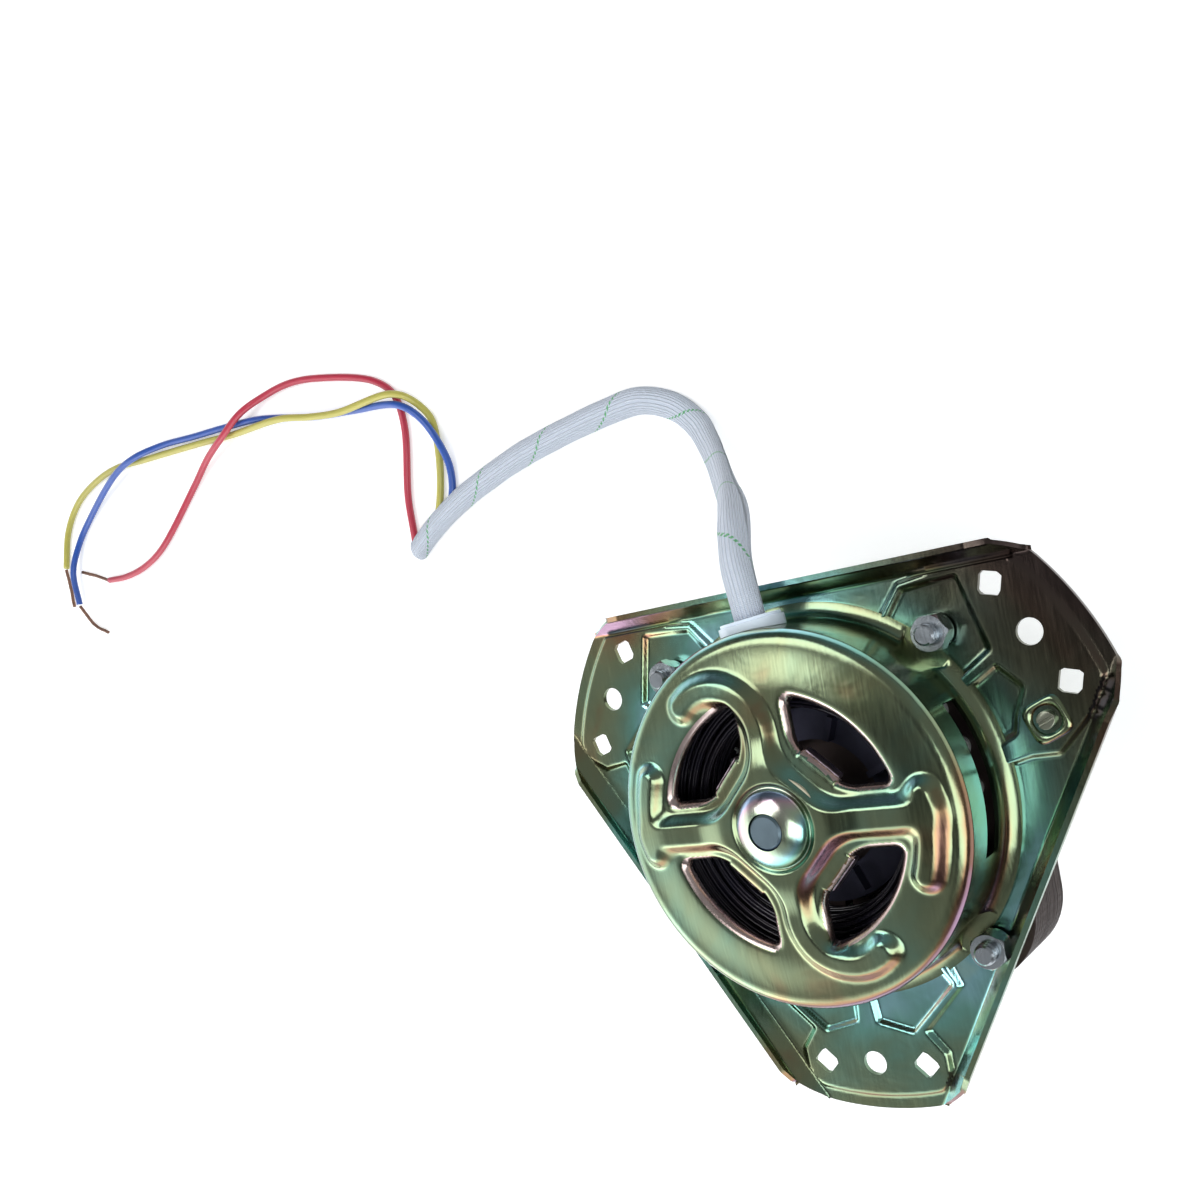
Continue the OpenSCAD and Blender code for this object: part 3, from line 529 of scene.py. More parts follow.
def make_sleeve():
    path = smooth_route(in_metres(SLEEVE_ROUTE), 1.2 * MM)
    total = route_length(path)
    closing = 4 * MM
    section = circle(40)

    def outline(travelled):
        # The sleeve is soft: it swells and narrows a little, and closes with a rounded end.
        swell = 1 - 0.035 * (1 + math.sin(travelled * 230) * math.sin(travelled * 97 + 1)) / 2
        left = max(0.0, total - travelled)
        end = math.sqrt(max(0.02, 1 - (1 - left / closing) ** 2)) if left < closing else 1.0
        half_w = SLEEVE_WIDTH / 2 * swell * end
        half_t = SLEEVE_THICK / 2 * swell * (0.4 + 0.6 * end)
        # It is fuller round the bend that follows the gland, about 42 mm along.
        fuller = math.exp(-((travelled / MM - 42) / 27) ** 2)
        half_t += (half_w * 0.86 - half_t) * fuller
        return [(half_w * math.copysign(abs(c) ** 0.8, c), half_t * math.copysign(abs(d) ** 0.8, d))
                for c, d in section]

    piece = tube("braided_sleeve", path, outline, BRAID)
    settle(piece, "braid", "lead_sleeve")
    return piece, path


def make_wire(colour, material, route, end_route):
    path = smooth_route(in_metres(route), 2.0 * MM)
    ring = [(WIRE / 2 * c, WIRE / 2 * d) for c, d in circle(20)]
    piece = tube("wire_" + colour + "_insulated", path, lambda travelled: ring, material, level=False)
    settle(piece, colour + "_insulation", "wire_" + colour)
    return piece, path, make_strands(colour, end_route)


def make_strands(colour, route):
    """Eight fine strands round a ninth, twisted at the insulation and fanned out a little at the tip."""
    middle = smooth_route(in_metres(route), 0.6 * MM)

    def place(strand, i):
        share = i / (len(middle) - 1)
        spread = 0 if strand == 8 else (0.62 + 0.1 * math.sin(strand * 2.4 + share * 3) * share) * MM
        return strand * math.tau / 8 + share * 7, spread

    piece = mesh_object("strand_ends_" + colour, *strands_along(middle, 9, place, 0.27 * MM, 6), COPPER)
    fix_normals(piece)
    settle(piece, "strand", "strands_" + colour)
    return piece


sleeve, sleeve_path = make_sleeve()
wires = [make_wire(*row) for row in WIRES]
route_length(sleeve_path)
for wire, wire_path, ends in wires:
    route_length(wire_path)

# Floor and light

FLOOR_Z = -76.4 * MM
FLOOR_HALF = 3.0
BRIGHT_SIDE = (-0.7, -0.55, -0.45)
# How bright the room is from its dark side (0) to its bright side (1)
ROOM_LEVELS = (
    (0.0, 0.14), (0.30, 0.05), (0.42, 0.03), (0.48, 0.14), (0.55, 0.17), (0.61, 0.18), (0.66, 0.60),
    (0.72, 1.0),
)


def make_floor():
    corners = [(FLOOR_HALF * x, FLOOR_HALF * y, FLOOR_Z) for x, y in ((-1, -1), (1, -1), (1, 1), (-1, 1))]
    s = Shader("pale floor", Roughness=0.9, Base_Color=(0.86, 0.87, 0.88), Emission_Color=(1, 1, 1))
    rays = s.add("ShaderNodeLightPath").outputs
    mirrored = s.math("MAXIMUM", rays["Is Glossy Ray"], rays["Is Transmission Ray"])
    seen = s.math("MAXIMUM", rays["Is Camera Ray"], mirrored)
    s.feed(seen * 0.38, s.main["Emission Strength"])
    mesh_object("floor", corners, [(0, 1, 2, 3)], s.material, smooth=False)


def make_light(name, place, size, watts, tint=(1, 1, 1)):
    """A rectangular lamp that faces the origin."""
    data = bpy.data.lights.new(name, "AREA")
    data.shape = "RECTANGLE"
    data.size, data.size_y = size
    data.energy = watts
    data.color = tint
    lamp = add_object(name, data)
    lamp.location = place
    lamp.rotation_euler = (-Vector(place)).to_track_quat("-Z", "Y").to_euler()


def make_world():
    """White behind the object; for everything else a soft room, bright to one side and dark overhead."""
    world = bpy.data.worlds.new("studio")
    bpy.context.scene.world = world
    world.use_nodes = True
    n = Nodes(world.node_tree)
    toward = n.add("ShaderNodeVectorMath", {
        0: n.add("ShaderNodeTexCoord").outputs["Generated"], 1: Vector(BRIGHT_SIDE).normalized(),
    }, operation="DOT_PRODUCT")
    levels = [(place, (level, level, level * 1.02)) for place, level in ROOM_LEVELS]
    room = n.tree.nodes["Background"]
    n.feed(n.ramp(Flow(n, toward.outputs["Value"]) * 0.5 + 0.5, levels), room.inputs["Color"])
    n.feed(2.3, room.inputs["Strength"])
    white = n.add("ShaderNodeBackground", {"Color": (1, 1, 1)})
    shown = n.add("ShaderNodeMixShader", {
        0: n.add("ShaderNodeLightPath").outputs["Is Camera Ray"], 1: room.outputs[0], 2: white.outputs[0]})
    n.feed(shown.outputs[0], n.tree.nodes["World Output"].inputs["Surface"])


make_floor()
make_world()
make_light("window side", (0.55, -0.25, 0.75), (0.5, 0.9), 5.5, (0.97, 1, 1))
make_light("overhead", (-0.35, 0.45, 0.85), (0.7, 0.5), 4.5)
make_light("low fill", (-0.7, -0.55, 0.30), (0.5, 0.4), 1.6, (1, 0.98, 0.95))

# Pressed steel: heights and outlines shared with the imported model, in millimetres

WEB_TOP = -1.5
SHEET = 1.6
CUP_SHEET = 1.2
CUP_R = 55.7
CUP_H = 29.0
FLANGE_R = 60.5
RIM_R = 4.0
FLARE_R = 4.4
HUB_RISE = 4.5
DOME_R = 11.6
DOME_TOP = 8.6
DOME_SINK = 0.8
RIB_H = 2.9
RIB_SLOPE = 4.4
DISH, DISH_FROM_R, DISH_RUN = 1.0, 38, 14
HUB_FOOT_R, HUB_FOOT_RUN = 27, 11
SPOKE_W, HEAD_W, HOOK_W = 4.5, 3.6, 3.9
HUB_HALF = 16.0
BLEND = 4.0
FACE_FROM_R = 17.0
SHAFT_HOLE_R = 5.4
BOLT_R = 64.0
BOLT_ANGLES = (45, 135, 225, 315)
BOLT_PLACES = [polar(BOLT_R, angle) for angle in BOLT_ANGLES]
NUDGE = 0.02


def smoothstep(t):
    t = np.clip(t, 0, 1)
    return t * t * (3 - 2 * t)


def segment_distance(x, y, a, b):
    ax, ay, bx, by = *a, *b
    t = np.clip(((x - ax) * (bx - ax) + (y - ay) * (by - ay)) / ((bx - ax) ** 2 + (by - ay) ** 2), 0, 1)
    return np.hypot(x - ax - t * (bx - ax), y - ay - t * (by - ay))


def path_distance(x, y, points):
    return np.min([segment_distance(x, y, a, b) for a, b in zip(points, points[1:])], axis=0)


def polygon_distance(x, y, points):
    """Signed distance to a closed outline, less than zero inside."""
    closed = list(points) + [points[0]]
    away = path_distance(x, y, closed)
    inside = np.zeros(x.shape, bool)
    for (ax, ay), (bx, by) in zip(closed, closed[1:]):
        if ay != by:
            inside ^= ((ay > y) != (by > y)) & (x < (bx - ax) * (y - ay) / (by - ay) + ax)
    return np.where(inside, -away, away)


def turned(x, y, degrees):
    c, s = polar(1, degrees)
    return x * c + y * s, y * c - x * s


def arc_points(radius, start, end, count=10, centre=(0, 0)):
    arc = [polar(radius, start + (end - start) * i / count) for i in range(count + 1)]
    return [(centre[0] + x, centre[1] + y) for x, y in arc]


def soft_min(a, b, k):
    h = np.clip(0.5 + 0.5 * (b - a) / k, 0, 1)
    return b * (1 - h) + a * h - k * h * (1 - h)


def rounded(sides, corner):
    """Signed distance to the area inside all the sides, with round corners."""
    parts = [p + corner for p in sides]
    inside = np.max(parts, axis=0)
    outer = np.sqrt(np.sum([np.maximum(p, 0) ** 2 for p in parts], axis=0))
    return np.where(inside < 0, inside, outer) - corner


def slid(distance, d, x, y, chosen):
    """Moves the chosen points along the distance's slope onto its outline. d is the distance at them."""
    gx = (distance(x + NUDGE, y) - distance(x - NUDGE, y)) / (2 * NUDGE)
    gy = (distance(x, y + NUDGE) - distance(x, y - NUDGE)) / (2 * NUDGE)
    return np.where(chosen, x - gx * d, x), np.where(chosen, y - gy * d, y)


def bolt_clear(x, y):
    return np.min([np.hypot(x - bx, y - by) for bx, by in BOLT_PLACES], axis=0)


def rib_distance(x, y):
    """Signed distance to the raised hub and spokes, less than zero on them."""
    best = None
    for u, v in ((x, y), (-x, -y)):
        for piece in (
            path_distance(u, v, [(10, 0.3), (44, 0.3)]) - SPOKE_W,
            path_distance(u, v, arc_points(45.3, -22, 7)) - HEAD_W,
            path_distance(u, v, [(-0.7, 10)] + arc_points(14.6, 0, 133, 14, (-15.2, 26.6))) - HOOK_W,
        ):
            best = piece if best is None else soft_min(best, piece, BLEND)
    # The hub is a rounded square that stands on its corner, a little nearer on one side.
    p, q = (x + y) / math.sqrt(2), (x - y) / math.sqrt(2)
    hub = np.maximum(np.abs(p) + 0.8 * smoothstep((x + y) / 10), np.abs(q))
    return soft_min(best, hub - HUB_HALF, BLEND)


WINDOW_R = 36.8
WINDOW_CORNER = 2.4
SPOKE_HALF = 9.0
TAB_D = 22.8
LIP = 3.0


def window_distance(x, y):
    """Signed distance to the nearest window, less than zero in the opening."""
    u, v = np.abs(x), np.abs(y)
    along = np.abs(u - v) / math.sqrt(2)
    chord = TAB_D - (u + v) / math.sqrt(2) - 0.8 * smoothstep((along - 6.4) / 0.5)
    return rounded((np.hypot(u, v) - WINDOW_R, SPOKE_HALF - u, SPOKE_HALF - v, chord), WINDOW_CORNER)


SLOT_Z = (6.5, 15.5)
SLOT_CENTRES = (5.5, 185.5, 275.5)
SLOT_HALF = 23.0
GLAND_HOLE_Z = (11.7, 17.3)
GLAND_HOLE_HALF = 8
DENT_R = 10.0
DENT_Z = 10.0
SHAFT_END_R = 5.9
COLLAR_R = 13.2
AROUND = 480


def straight(a, b, step):
    """The points between a and b, without either, about a step apart."""
    n = max(1, round(math.dist(a, b) / step))
    return [tuple(p) for p in np.linspace(a, b, n + 1)[1:-1]]


def cup_profile():
    """Radius and height down the outer skin, from the dome's hole to the flange's edge."""
    dome_foot = CUP_H + HUB_RISE - DOME_SINK
    start = math.asin(SHAFT_HOLE_R / DOME_R)
    points = []
    for i in range(11):
        t = start + (math.pi / 2 - start) * i / 10
        crown = (CUP_H + DOME_TOP - dome_foot) * math.cos(t) / math.cos(start)
        points.append((DOME_R * math.sin(t), dome_foot + crown))
    groove = ((11.8, DOME_SINK + 0.1), (12.3, 0.75), (12.7, 0.4), (13.1, 0.1), (13.5, 0))
    points += [(r, CUP_H - depth) for r, depth in groove]
    points += straight(points[-1], (CUP_R - RIM_R, CUP_H), 0.62)
    points += arc_points(RIM_R, 90, 0, 7, (CUP_R - RIM_R, CUP_H - RIM_R))
    top = (CUP_R, CUP_H - RIM_R)
    for stop in (SLOT_Z[1], SLOT_Z[0], CUP_SHEET + FLARE_R):
        points += straight(top, (CUP_R, stop), 1.1) + [(CUP_R, stop)]
        top = (CUP_R, stop)
    points += arc_points(FLARE_R, 180, 270, 6, (CUP_R + FLARE_R, CUP_SHEET + FLARE_R))[1:]
    return points + straight(points[-1], (FLANGE_R, CUP_SHEET), 0.9) + [(FLANGE_R, CUP_SHEET)]


def dented(x, y, z):
    """Pushes the wall in round each clamp bolt's nut."""
    for bolt in BOLT_ANGLES:
        bx, by = polar(BOLT_R, bolt)
        reach = np.sqrt(np.maximum(DENT_R ** 2 - np.maximum(z - DENT_Z, 0) ** 2, 0))
        off = np.radians((np.degrees(np.arctan2(y, x)) - bolt + 180) % 360 - 180)
        touch = (z > CUP_SHEET + 0.05) & (z < DENT_Z + DENT_R) & (np.hypot(x - bx, y - by) < reach)
        limit = BOLT_R * np.cos(off) - np.sqrt(np.maximum(reach ** 2 - (BOLT_R * np.sin(off)) ** 2, 0))
        now = np.hypot(x, y)
        shrink = np.where(touch & (limit < now), limit / np.maximum(now, 1e-6), 1.0)
        x, y = x * shrink, y * shrink
    return x, y


def cup_openings(r, z, open_face, degrees):
    """True for the cells that the windows, the wall slots or the gland's hole take away."""
    beside = np.roll(open_face, -1, 1)
    gone = open_face[:-1] & open_face[1:] & beside[:-1] & beside[1:]
    wall = r[:-1] > CUP_R - 0.1
    height = (z[:-1] + z[1:]) / 2
    middle = degrees + 180 / AROUND
    holes = [(centre, SLOT_HALF, SLOT_Z) for centre in SLOT_CENTRES]
    for centre, half, (low, high) in holes + [(GLAND_ANGLE, GLAND_HOLE_HALF, GLAND_HOLE_Z)]:
        away = np.abs((middle - centre + 180) % 360 - 180)
        gone |= wall & (height < high) & (height > low) & (away < half)
    return gone


def make_end_cup():
    profile = np.array(cup_profile())
    rings = len(profile)
    r = profile[:, :1]
    z = profile[:, 1:] + np.zeros((1, AROUND))
    angle = np.arange(AROUND)[None, :] * math.tau / AROUND
    x, y = r * np.cos(angle), r * np.sin(angle)
    top = z > CUP_H - RIM_R
    face = (r > FACE_FROM_R) & (r < CUP_R - 0.5) & top
    height = RIB_H + (HUB_RISE - RIB_H) * smoothstep((HUB_FOOT_R - r) / HUB_FOOT_RUN)
    rise = height * smoothstep(0.5 - rib_distance(x, y) / RIB_SLOPE) * smoothstep((CUP_R - 1.0 - r) / 4.5)
    z = z + np.where(r < COLLAR_R, np.where(r > DOME_R + 0.1, HUB_RISE, 0), np.where(top, rise, 0))
    # The face is dished a little towards the rim.
    z = z - DISH * smoothstep((r - DISH_FROM_R) / DISH_RUN) * top
    edge = window_distance(x, y)
    near = np.clip(LIP - edge, 0, LIP)
    z = np.where(face & (edge < LIP), z - (LIP - np.sqrt(np.maximum(LIP ** 2 - near ** 2, 0))), z)
    x, y = slid(window_distance, edge, x, y, face & (edge < 0))
    x, y = dented(x, y, z)
    gone = cup_openings(r, z, face & (edge < 0), np.degrees(angle))
    vertices = np.stack([x, y, z + WEB_TOP], -1).reshape(-1, 3) * MM
    faces = []
    join_rings(faces, 0, rings, AROUND, capped=False)
    faces = [quad for quad, out in zip(faces, gone.ravel()) if not out]
    piece = mesh_object("pressed_end_cup", vertices, faces, CHROMATE)
    for finish in (DOME, LIPS, SHAFT):
        piece.data.materials.append(finish)
    for polygon in piece.data.polygons:
        places = [piece.data.vertices[v].co / MM for v in polygon.vertices]
        reach = [math.hypot(q.x, q.y) for q in places]
        if max(reach) < SHAFT_END_R:
            polygon.material_index = 3
        elif max(reach) < DOME_R + 0.4:
            polygon.material_index = 1
        elif min(reach) > 18 and places[0].z < CUP_H + WEB_TOP - 0.35 and max(reach) < WINDOW_R + 2.2:
            polygon.material_index = 2
    finish_sheet(piece, CUP_SHEET * MM)
    settle(piece, "chromate", "end_cup")


def finish_sheet(piece, thickness):
    """Drops loose and squashed parts, turns the faces upwards and gives the skin its thickness."""
    with editing(piece) as work:
        bmesh.ops.remove_doubles(work, verts=work.verts, dist=0.02 * MM)
        bmesh.ops.dissolve_degenerate(work, edges=work.edges, dist=0.01 * MM)
        bmesh.ops.delete(work, geom=[v for v in work.verts if not v.link_faces], context="VERTS")
        bmesh.ops.recalc_face_normals(work, faces=work.faces)
        if sum(f.normal.z * f.calc_area() for f in work.faces) < 0:
            bmesh.ops.reverse_faces(work, faces=work.faces)
    wall = piece.modifiers.new("wall", "SOLIDIFY")
    wall.thickness = thickness
    wall.offset = -1
    wall.use_even_offset = False
    apply_modifiers(piece)
    edges_sharp(piece, 50)


make_end_cup()


def make_window_tabs():
    """The strip at the hub's side of each window, lanced free at its ends and bent down."""
    top, low = CUP_H - 1.9, CUP_H - 5.4
    section = [(TAB_D, top), (TAB_D + 0.05, low), (TAB_D - CUP_SHEET + 0.1, low), (TAB_D - CUP_SHEET, top)]
    half, rows = 6.2, 9
    vertices, faces = [], []
    for degrees in BOLT_ANGLES:
        out = Vector((*polar(1, degrees), 0))
        along = Vector((-out.y, out.x, 0))
        start = len(vertices)
        for side in np.linspace(-half, half, rows):
            droop = 0.35 * (abs(side) / half) ** 4
            for r, z in section:
                rise = z + WEB_TOP + (droop if z == low else 0)
                vertices.append((out * r + along * side + Vector((0, 0, rise))) * MM)
        join_rings(faces, start, rows, len(section))
    piece = mesh_object("window_tabs", vertices, faces, LANCED)
    fix_normals(piece)
    with editing(piece) as work:
        edges = [e for e in work.edges if e.calc_face_angle() > 1.2]
        bmesh.ops.bevel(work, geom=edges, offset=0.3 * MM, segments=3, affect="EDGES", profile=0.5)
    edges_sharp(piece, 50)
    settle(piece, "chromate")


make_window_tabs()

# Mounting plate, worked out flat and folded up along its three long edges

LOBE_R = 97.0
FOLD_SIDES = ((90, 66.0), (-30, 68.0), (210, 68.0))
FOLD_RUN = 4.0
FOLD_STRIP = FOLD_RUN * math.sqrt(2)
EDGE_UP = 2.5
PAD_R = 93.3
LOBE_SIDES = ((30, 1, 2), (150, 0, 1), (270, 0, 0))
FANS = (
    [(25, 99), (25, 78), (20, 71.5), (33, 58), (30, 50)],
    [(25, 99), (28.5, 79), (35, 61), (31, 50)],
    [(25, 99), (28, 79), (31, 67), (27, 60), (24, 50)],
)
POCKETS = (
    [(3.2, 54), (4.3, 68.2), (14.6, 71.1), (29, 57), (24, 50)],
    [(3.2, 54), (4, 69.5), (17, 73), (24.5, 75), (31.5, 61), (27, 50)],
    [(2.2, 54), (2, 68), (10, 70), (14.5, 63.7), (17.9, 60.5), (17, 52)],
)
HOLE_R = 3.75
SQUARE_HALF = 3.2
SQUARE_CORNER = 0.5
HOLE_PITCH = 16.9
HOLE_CIRCLE_R = 82.0
PLATE_BORE_R = 53.0
CELL = 0.66
FAR = 50.0
PAD_SLOPE = 1.7
BOLT_FLAT_R = 7.2


def flipped(points):
    return [(-x, y) for x, y in points[::-1]]


def pad_distance(x, y):
    """Signed distance to the raised lobe pads, less than zero on them."""
    best = np.full(x.shape, FAR)
    for angle, left, right in LOBE_SIDES:
        u, v = turned(x, y, angle - 90)
        fan = polygon_distance(u, v, FANS[right] + flipped(FANS[left]))
        pad = -soft_min(PAD_R - np.hypot(u, v), -fan, 6.0)
        for pocket in (POCKETS[right], flipped(POCKETS[left])):
            pad = -soft_min(-pad, polygon_distance(u, v, pocket), 2.5)
        best = np.minimum(best, pad)
    return best


def hole_distance(x, y):
    """Signed distance to the lobes' round and square holes, less than zero in them."""
    best = np.full(x.shape, FAR)
    for angle, _, _ in LOBE_SIDES:
        u, v = turned(x, y, angle - 90)
        v = v - HOLE_CIRCLE_R
        best = np.minimum(best, np.hypot(u, v) - HOLE_R)
        a = np.abs(u) - HOLE_PITCH
        sides = [np.abs(off) / math.sqrt(2) - SQUARE_HALF for off in (a + v, v - a)]
        best = np.minimum(best, rounded(sides, SQUARE_CORNER))
    return best


def plate_outline(x, y):
    """Signed distance to the flat blank's outer edge, less than zero on the plate."""
    best = np.hypot(x, y) - LOBE_R
    for angle, distance in FOLD_SIDES:
        u, v = turned(x, y, angle - 90)
        limit = distance - FOLD_RUN + FOLD_STRIP + EDGE_UP
        run = math.sqrt(LOBE_R ** 2 - distance ** 2)
        taper = limit - np.clip((np.abs(u) - (run - 12)) * 0.42, 0, EDGE_UP + 3)
        best = -soft_min(-best, taper - v, 4.0)
    return best


def plate_blank(x, y):
    d = np.maximum(plate_outline(x, y), -hole_distance(x, y))
    return np.maximum(d, PLATE_BORE_R - np.hypot(x, y))


def folded(x, y, z):
    """Folds the flat blank up along its long edges, where the raised forms die out."""
    px, py = x.copy(), y.copy()
    soft, fade = 0.8, 2.5
    for angle, distance in FOLD_SIDES:
        u, v = turned(x, y, angle - 90)
        start = distance - FOLD_RUN
        past = v - start
        climb = np.clip(past, 0, FOLD_STRIP) / math.sqrt(2)
        lift = climb * smoothstep((past + soft) / (2 * soft)) + np.clip(past - FOLD_STRIP, 0, None)
        shift = np.where(past > 0, start + climb - v, 0)
        ahead_x, ahead_y = polar(1, angle)
        px, py = px + shift * ahead_x, py + shift * ahead_y
        faded = (z - WEB_TOP) * (1 - smoothstep((past + fade) / fade))
        z = np.where(past > -soft, WEB_TOP + faded + lift, z)
    return px, py, z


def make_plate():
    span = np.arange(-100, 100.1, CELL)
    x, y = np.meshgrid(span, span, indexing="ij")
    d = plate_blank(x, y)
    outside = (d > 0) | (np.abs(d) < CELL * 0.3)
    for _ in range(2):
        d = plate_blank(x, y)
        x, y = slid(plate_blank, d, x, y, outside & (np.abs(d) < CELL * 1.1))
    used = plate_blank(x, y) < 0.12
    pads = smoothstep(-pad_distance(x, y) / PAD_SLOPE + 0.1)
    pads = pads * smoothstep((bolt_clear(x, y) - BOLT_FLAT_R) / 1.6)
    x, y, z = folded(x, y, WEB_TOP - WEB_TOP * pads)
    index = np.full(x.shape, -1)
    index[used] = np.arange(used.sum())
    vertices = np.stack([x[used], y[used], z[used]], -1) * MM
    cells = np.stack([index[:-1, :-1], index[1:, :-1], index[1:, 1:], index[:-1, 1:]], -1).reshape(-1, 4)
    corners = [[c for c in cell if c >= 0] for cell in cells.tolist()]
    faces = [face for face in corners if len(face) >= 3]
    piece = mesh_object("pressed_mounting_plate", vertices, faces, CHROMATE_PLATE)
    finish_sheet(piece, SHEET * MM)
    settle(piece, "chromate", "mounting_plate")


make_plate()

# Windings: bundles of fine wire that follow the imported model's spiral

CORE_TOP = -3.1
CORE_BOTTOM = -28.1
LAYER_LOOPS = 4
PITCH = 4.1
COIL_OUTER = 48.75
COIL_INNER = COIL_OUTER - LAYER_LOOPS * PITCH
WIRE_FINE = 0.52
WIRES_ROUND = 6


def coil_point(turn, layers, base):
    """A point on the coil's path, which winds in and out by turns and climbs at each change."""
    stage = turn / LAYER_LOOPS
    inward = abs((stage + 1) % 2 - 1)
    near = round(stage)
    layer = np.clip(near - 1 + smoothstep((turn - near * LAYER_LOOPS) * 2 + 0.5), 0, layers - 1)
    x, y = polar(COIL_OUTER - (COIL_OUTER - COIL_INNER) * inward, 360 * turn)
    return Vector((x, y, base + PITCH * layer)) * MM


def make_rear_winding():
    """Four layers of coil, each turn a bundle of fine wires that wander a little."""
    layers, base = 4, 1.45
    steps = layers * LAYER_LOOPS * 60
    middle = [coil_point(layers * LAYER_LOOPS * i / steps, layers, base) for i in range(steps + 1)]
    drift = np.random.default_rng(3).uniform(0, math.tau, (WIRES_ROUND + 1, 3))

    def place(strand, i):
        angle = strand * math.tau / WIRES_ROUND + i * 0.045 + 0.35 * math.sin(i * 0.11 + drift[strand, 0])
        out = 0.0 if strand == WIRES_ROUND else (1.16 + 0.10 * math.sin(i * 0.17 + drift[strand, 1])) * MM
        return angle, out

    mesh = strands_along(middle, WIRES_ROUND + 1, place, WIRE_FINE * MM, 5)
    piece = mesh_object("rear_end_winding", *mesh, VARNISH)
    fix_normals(piece)
    settle(piece, "winding", "rear_winding")


make_rear_winding()

FRONT_RING_TOP = -29.65
FRONT_RING_H = 11.0
FRONT_RING = (34.0, 50.5)
SLOT_COUNT = 24
PASSING_WIRES = 54
BARS_TOP = CORE_TOP + 2.5


def ring_outline(t):
    """A point on the rounded box that the front end winding fills, at the share t of its outline."""
    inset, corner = 0.55, 2.5
    w, h = FRONT_RING[1] - FRONT_RING[0] - 2 * inset, FRONT_RING_H - 2 * inset
    runs = (w - 2 * corner, h - 2 * corner) * 2
    bend = corner * math.pi / 2
    left = (t % 1.0) * (sum(runs) + 4 * bend)
    point = complex(FRONT_RING[0] + inset + corner, FRONT_RING_TOP - FRONT_RING_H + inset)
    way = 1
    for run in runs:
        bent = way * cmath.rect(1, min(max(left - run, 0), bend) / corner)
        point += way * min(left, run) + corner * 1j * (way - bent)
        left, way = max(left - run - bend, 0), way * 1j
    return point.real, point.imag


def front_sector():
    """One slot's share of the front winding: the wires that pass over it, then the wires in it."""
    vertices, faces = [], []
    sector = math.tau / SLOT_COUNT
    section = circle(6)

    def wire(points, radius, in_slot):
        start = len(vertices)
        for i, point in enumerate(points):
            side, up = across(heading(points, i) if in_slot else Vector((-point.y, point.x, 0)).normalized())
            vertices.extend((point + (side * c + up * d) * radius) * MM for c, d in section)
        join_rings(faces, start, len(points), len(section), capped=in_slot)

    rng = np.random.default_rng(11)
    for k in range(PASSING_WIRES):
        phase, sway = rng.uniform(0, math.tau), rng.uniform(0.003, 0.009)
        points = []
        for i in range(7):
            a = sector * i / 6
            r, z = ring_outline(k / PASSING_WIRES + sway * math.sin(SLOT_COUNT * a + phase))
            points.append(Vector((r * math.cos(a), r * math.sin(a), z)))
        wire(points, WIRE_FINE, False)
    heights = np.linspace(FRONT_RING_TOP - 1, BARS_TOP, 5)
    for i, x in enumerate(np.linspace(35.6, 46.6, 7)):
        half = 0.95 + 0.10 * i
        for y in (-half, half):
            bow = rng.uniform(-0.08, 0.08)
            wire([Vector((x + bow * math.sin(n), y, z)) for n, z in enumerate(heights)], 0.78, True)
    return vertices, faces


def around_axis(material):
    """Geometry nodes that repeat the body's mesh about the motor's axis and weld the copies."""
    group = bpy.data.node_groups.new("repeat about the axis", "GeometryNodeTree")
    new_socket = group.interface.new_socket
    new_socket("Geometry", in_out="INPUT", socket_type="NodeSocketGeometry")
    copies = new_socket("Copies", in_out="INPUT", socket_type="NodeSocketInt")
    new_socket("Geometry", in_out="OUTPUT", socket_type="NodeSocketGeometry")
    n = Nodes(group)
    start = n.add("NodeGroupInput").outputs
    places = n.first("GeometryNodeMeshLine", {"Count": start["Copies"], "Offset": (0, 0, 0)})
    share = n.math("DIVIDE", n.first("GeometryNodeInputIndex"), start["Copies"])
    turn = n.first("ShaderNodeCombineXYZ", {"Z": share * math.tau})
    spread = n.first("GeometryNodeInstanceOnPoints", {
        "Points": places, "Instance": start["Geometry"], "Rotation": turn})
    real = n.first("GeometryNodeRealizeInstances", {"Geometry": spread})
    weld = n.first("GeometryNodeMergeByDistance", {"Geometry": real, "Distance": 0.01 * MM})
    paint = n.first("GeometryNodeSetMaterial", {"Geometry": weld, "Material": material})
    n.add("NodeGroupOutput", {"Geometry": paint})
    return group, copies.identifier


def make_front_winding():
    piece = mesh_object("front_end_winding", *front_sector(), VARNISH)
    repeat = piece.modifiers.new("repeat", "NODES")
    repeat.node_group, copies = around_axis(VARNISH)
    repeat[copies] = SLOT_COUNT
    bpy.context.view_layer.update()
    apply_modifiers(piece)
    piece.data.shade_smooth()
    fix_normals(piece)
    settle(piece, "winding", "front_winding")


make_front_winding()

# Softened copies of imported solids

SHARP_ANGLE = 35


def softened(node, name, width, segments, slot_name):
    """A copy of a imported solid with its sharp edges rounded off."""
    piece = add_object(name, node_object(node).data.copy())
    with editing(piece) as work:
        bmesh.ops.remove_doubles(work, verts=work.verts, dist=0.002 * MM)
        bmesh.ops.dissolve_limit(work, angle_limit=math.radians(1), verts=work.verts, edges=work.edges)
        bmesh.ops.recalc_face_normals(work, faces=work.faces)
    edges_sharp(piece, SHARP_ANGLE)
    bevel = piece.modifiers.new("edges", "BEVEL")
    bevel.width = width * MM
    bevel.segments = segments
    bevel.limit_method = "ANGLE"
    bevel.angle_limit = math.radians(SHARP_ANGLE)
    bevel.harden_normals = True
    apply_modifiers(piece)
    settle(piece, slot_name, node)


softened("cable_gland", "nylon_gland", 1.3, 5, "nylon")
softened("clamp_nuts", "zinc_nuts", 0.35, 3, "zinc")
softened("plate_screw", "slotted_screw", 0.25, 2, "zinc")
softened("stator_core", "lamination_stack", 0.35, 2, "core_steel")

# Sheet edges, the screw's boss and the threads

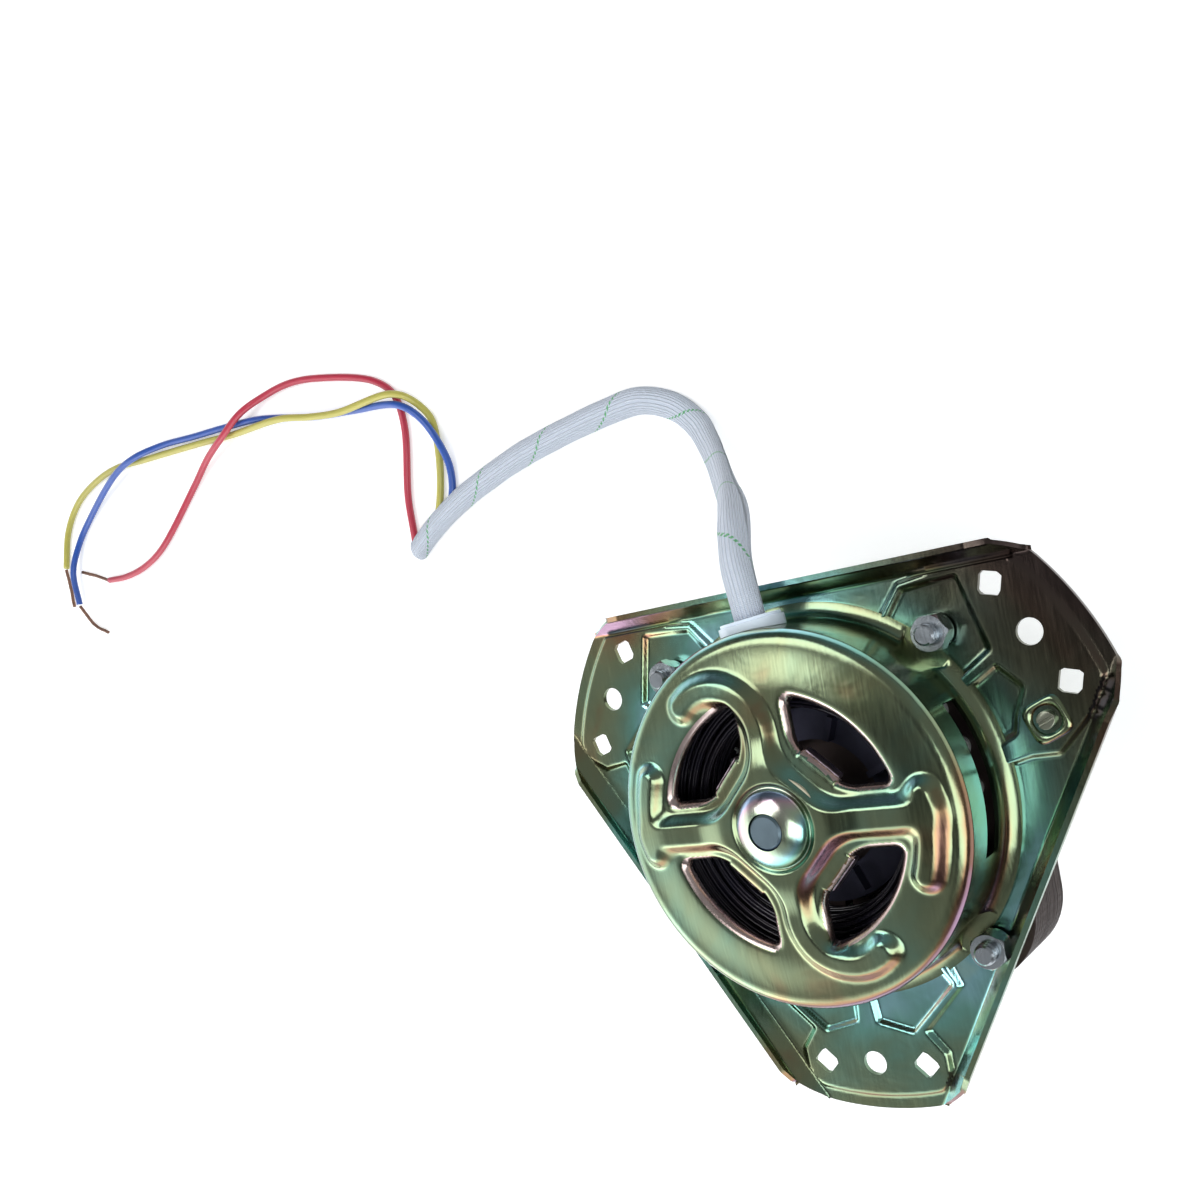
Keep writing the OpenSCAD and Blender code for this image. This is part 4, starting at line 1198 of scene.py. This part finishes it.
CORE_HALF = 57.2
CORE_CORNER = 20.98
LAMINATION = 0.5


def make_lamination_edges():
    """The edges of the core's stacked sheets, each a thin band that stands a little proud."""
    steps = 14
    middle = CORE_HALF - CORE_CORNER
    outline = []
    for quarter, (cx, cy) in enumerate(((1, 1), (-1, 1), (-1, -1), (1, -1))):
        for i in range(steps + 1):
            outline.append((cx * middle, cy * middle, *polar(1, 90 * (quarter + i / steps))))
    rng = np.random.default_rng(5)
    vertices, faces = [], []
    for sheet in range(round((CORE_TOP - CORE_BOTTOM) / LAMINATION)):
        low = CORE_BOTTOM + sheet * LAMINATION + 0.07
        high = low + LAMINATION - 0.14
        proud = rng.uniform(0.05, 0.16)
        edge = proud - 0.05
        section = ((-0.4, low), (edge, low), (proud, (low + high) / 2), (edge, high), (-0.4, high))
        start = len(vertices)
        for out, z in section:
            reach = CORE_CORNER + out
            vertices += [Vector((cx + nx * reach, cy + ny * reach, z)) * MM for cx, cy, nx, ny in outline]
        join_rings(faces, start, len(section), len(outline), closed=True)
    piece = mesh_object("lamination_edges", vertices, faces, CORE)
    fix_normals(piece)
    edges_sharp(piece, 40)
    settle(piece, "core_steel")


make_lamination_edges()

SCREW_AT = (71.5, 17.0)
SCREW_TURN = 22
BOSS_PROFILE = (
    (6.2, -1.55), (6.1, -0.5), (5.8, 0.2), (5.3, 0.7), (4.8, 0.85), (4.3, 0.7), (3.9, 0.2), (3.6, -0.3),
    (2.4, -0.4), (2.4, -1.55),
)


def make_screw_boss():
    """A rounded square boss with a raised rim and a sunk middle, round the slotted screw."""
    sides = 64
    vertices, faces = [], []
    for reach, z in BOSS_PROFILE:
        squareness = 2 + 2.4 * min(1, max(0, (reach - 3.6) / 2))
        for k, (c, d) in enumerate(circle(sides)):
            r = reach / (abs(c) ** squareness + abs(d) ** squareness) ** (1 / squareness)
            x, y = polar(r, SCREW_TURN + 360 * k / sides)
            vertices.append(Vector((SCREW_AT[0] + x, SCREW_AT[1] + y, z)) * MM)
    join_rings(faces, 0, len(BOSS_PROFILE), sides, closed=True)
    piece = mesh_object("screw_boss", vertices, faces, CHROMATE)
    fix_normals(piece)
    edges_sharp(piece, 60)
    settle(piece, "chromate", "screw_nut")


make_screw_boss()

THREAD_R = 2.95
THREAD_PITCH = 1.0
THREAD_Z = (6.5, 8.7)
THREAD_STEPS = 28
RUN_OUT = 10


def make_threads():
    """A ridge wound round each bolt's end, fading out at both of its ends."""
    bottom, top = THREAD_Z
    steps = int((top - bottom) / THREAD_PITCH * THREAD_STEPS)
    vertices, faces = [], []
    for place in BOLT_PLACES:
        start = len(vertices)
        for i in range(steps + 1):
            fade = min(1.0, i / RUN_OUT, (steps - i) / RUN_OUT)
            z = bottom + (top - bottom) * i / steps
            for out, lift in ((-0.2, -0.42), (0.24 * fade, 0.0), (-0.2, 0.42)):
                x, y = polar(THREAD_R + out, 360 * i / THREAD_STEPS)
                vertices.append(Vector((place[0] + x, place[1] + y, z + lift * THREAD_PITCH)) * MM)
        join_rings(faces, start, steps + 1, 3)
    piece = mesh_object("bolt_threads", vertices, faces, ZINC, smooth=False)
    fix_normals(piece)
    settle(piece, "zinc")


make_threads()

bpy.context.scene.view_settings.view_transform = "Standard"
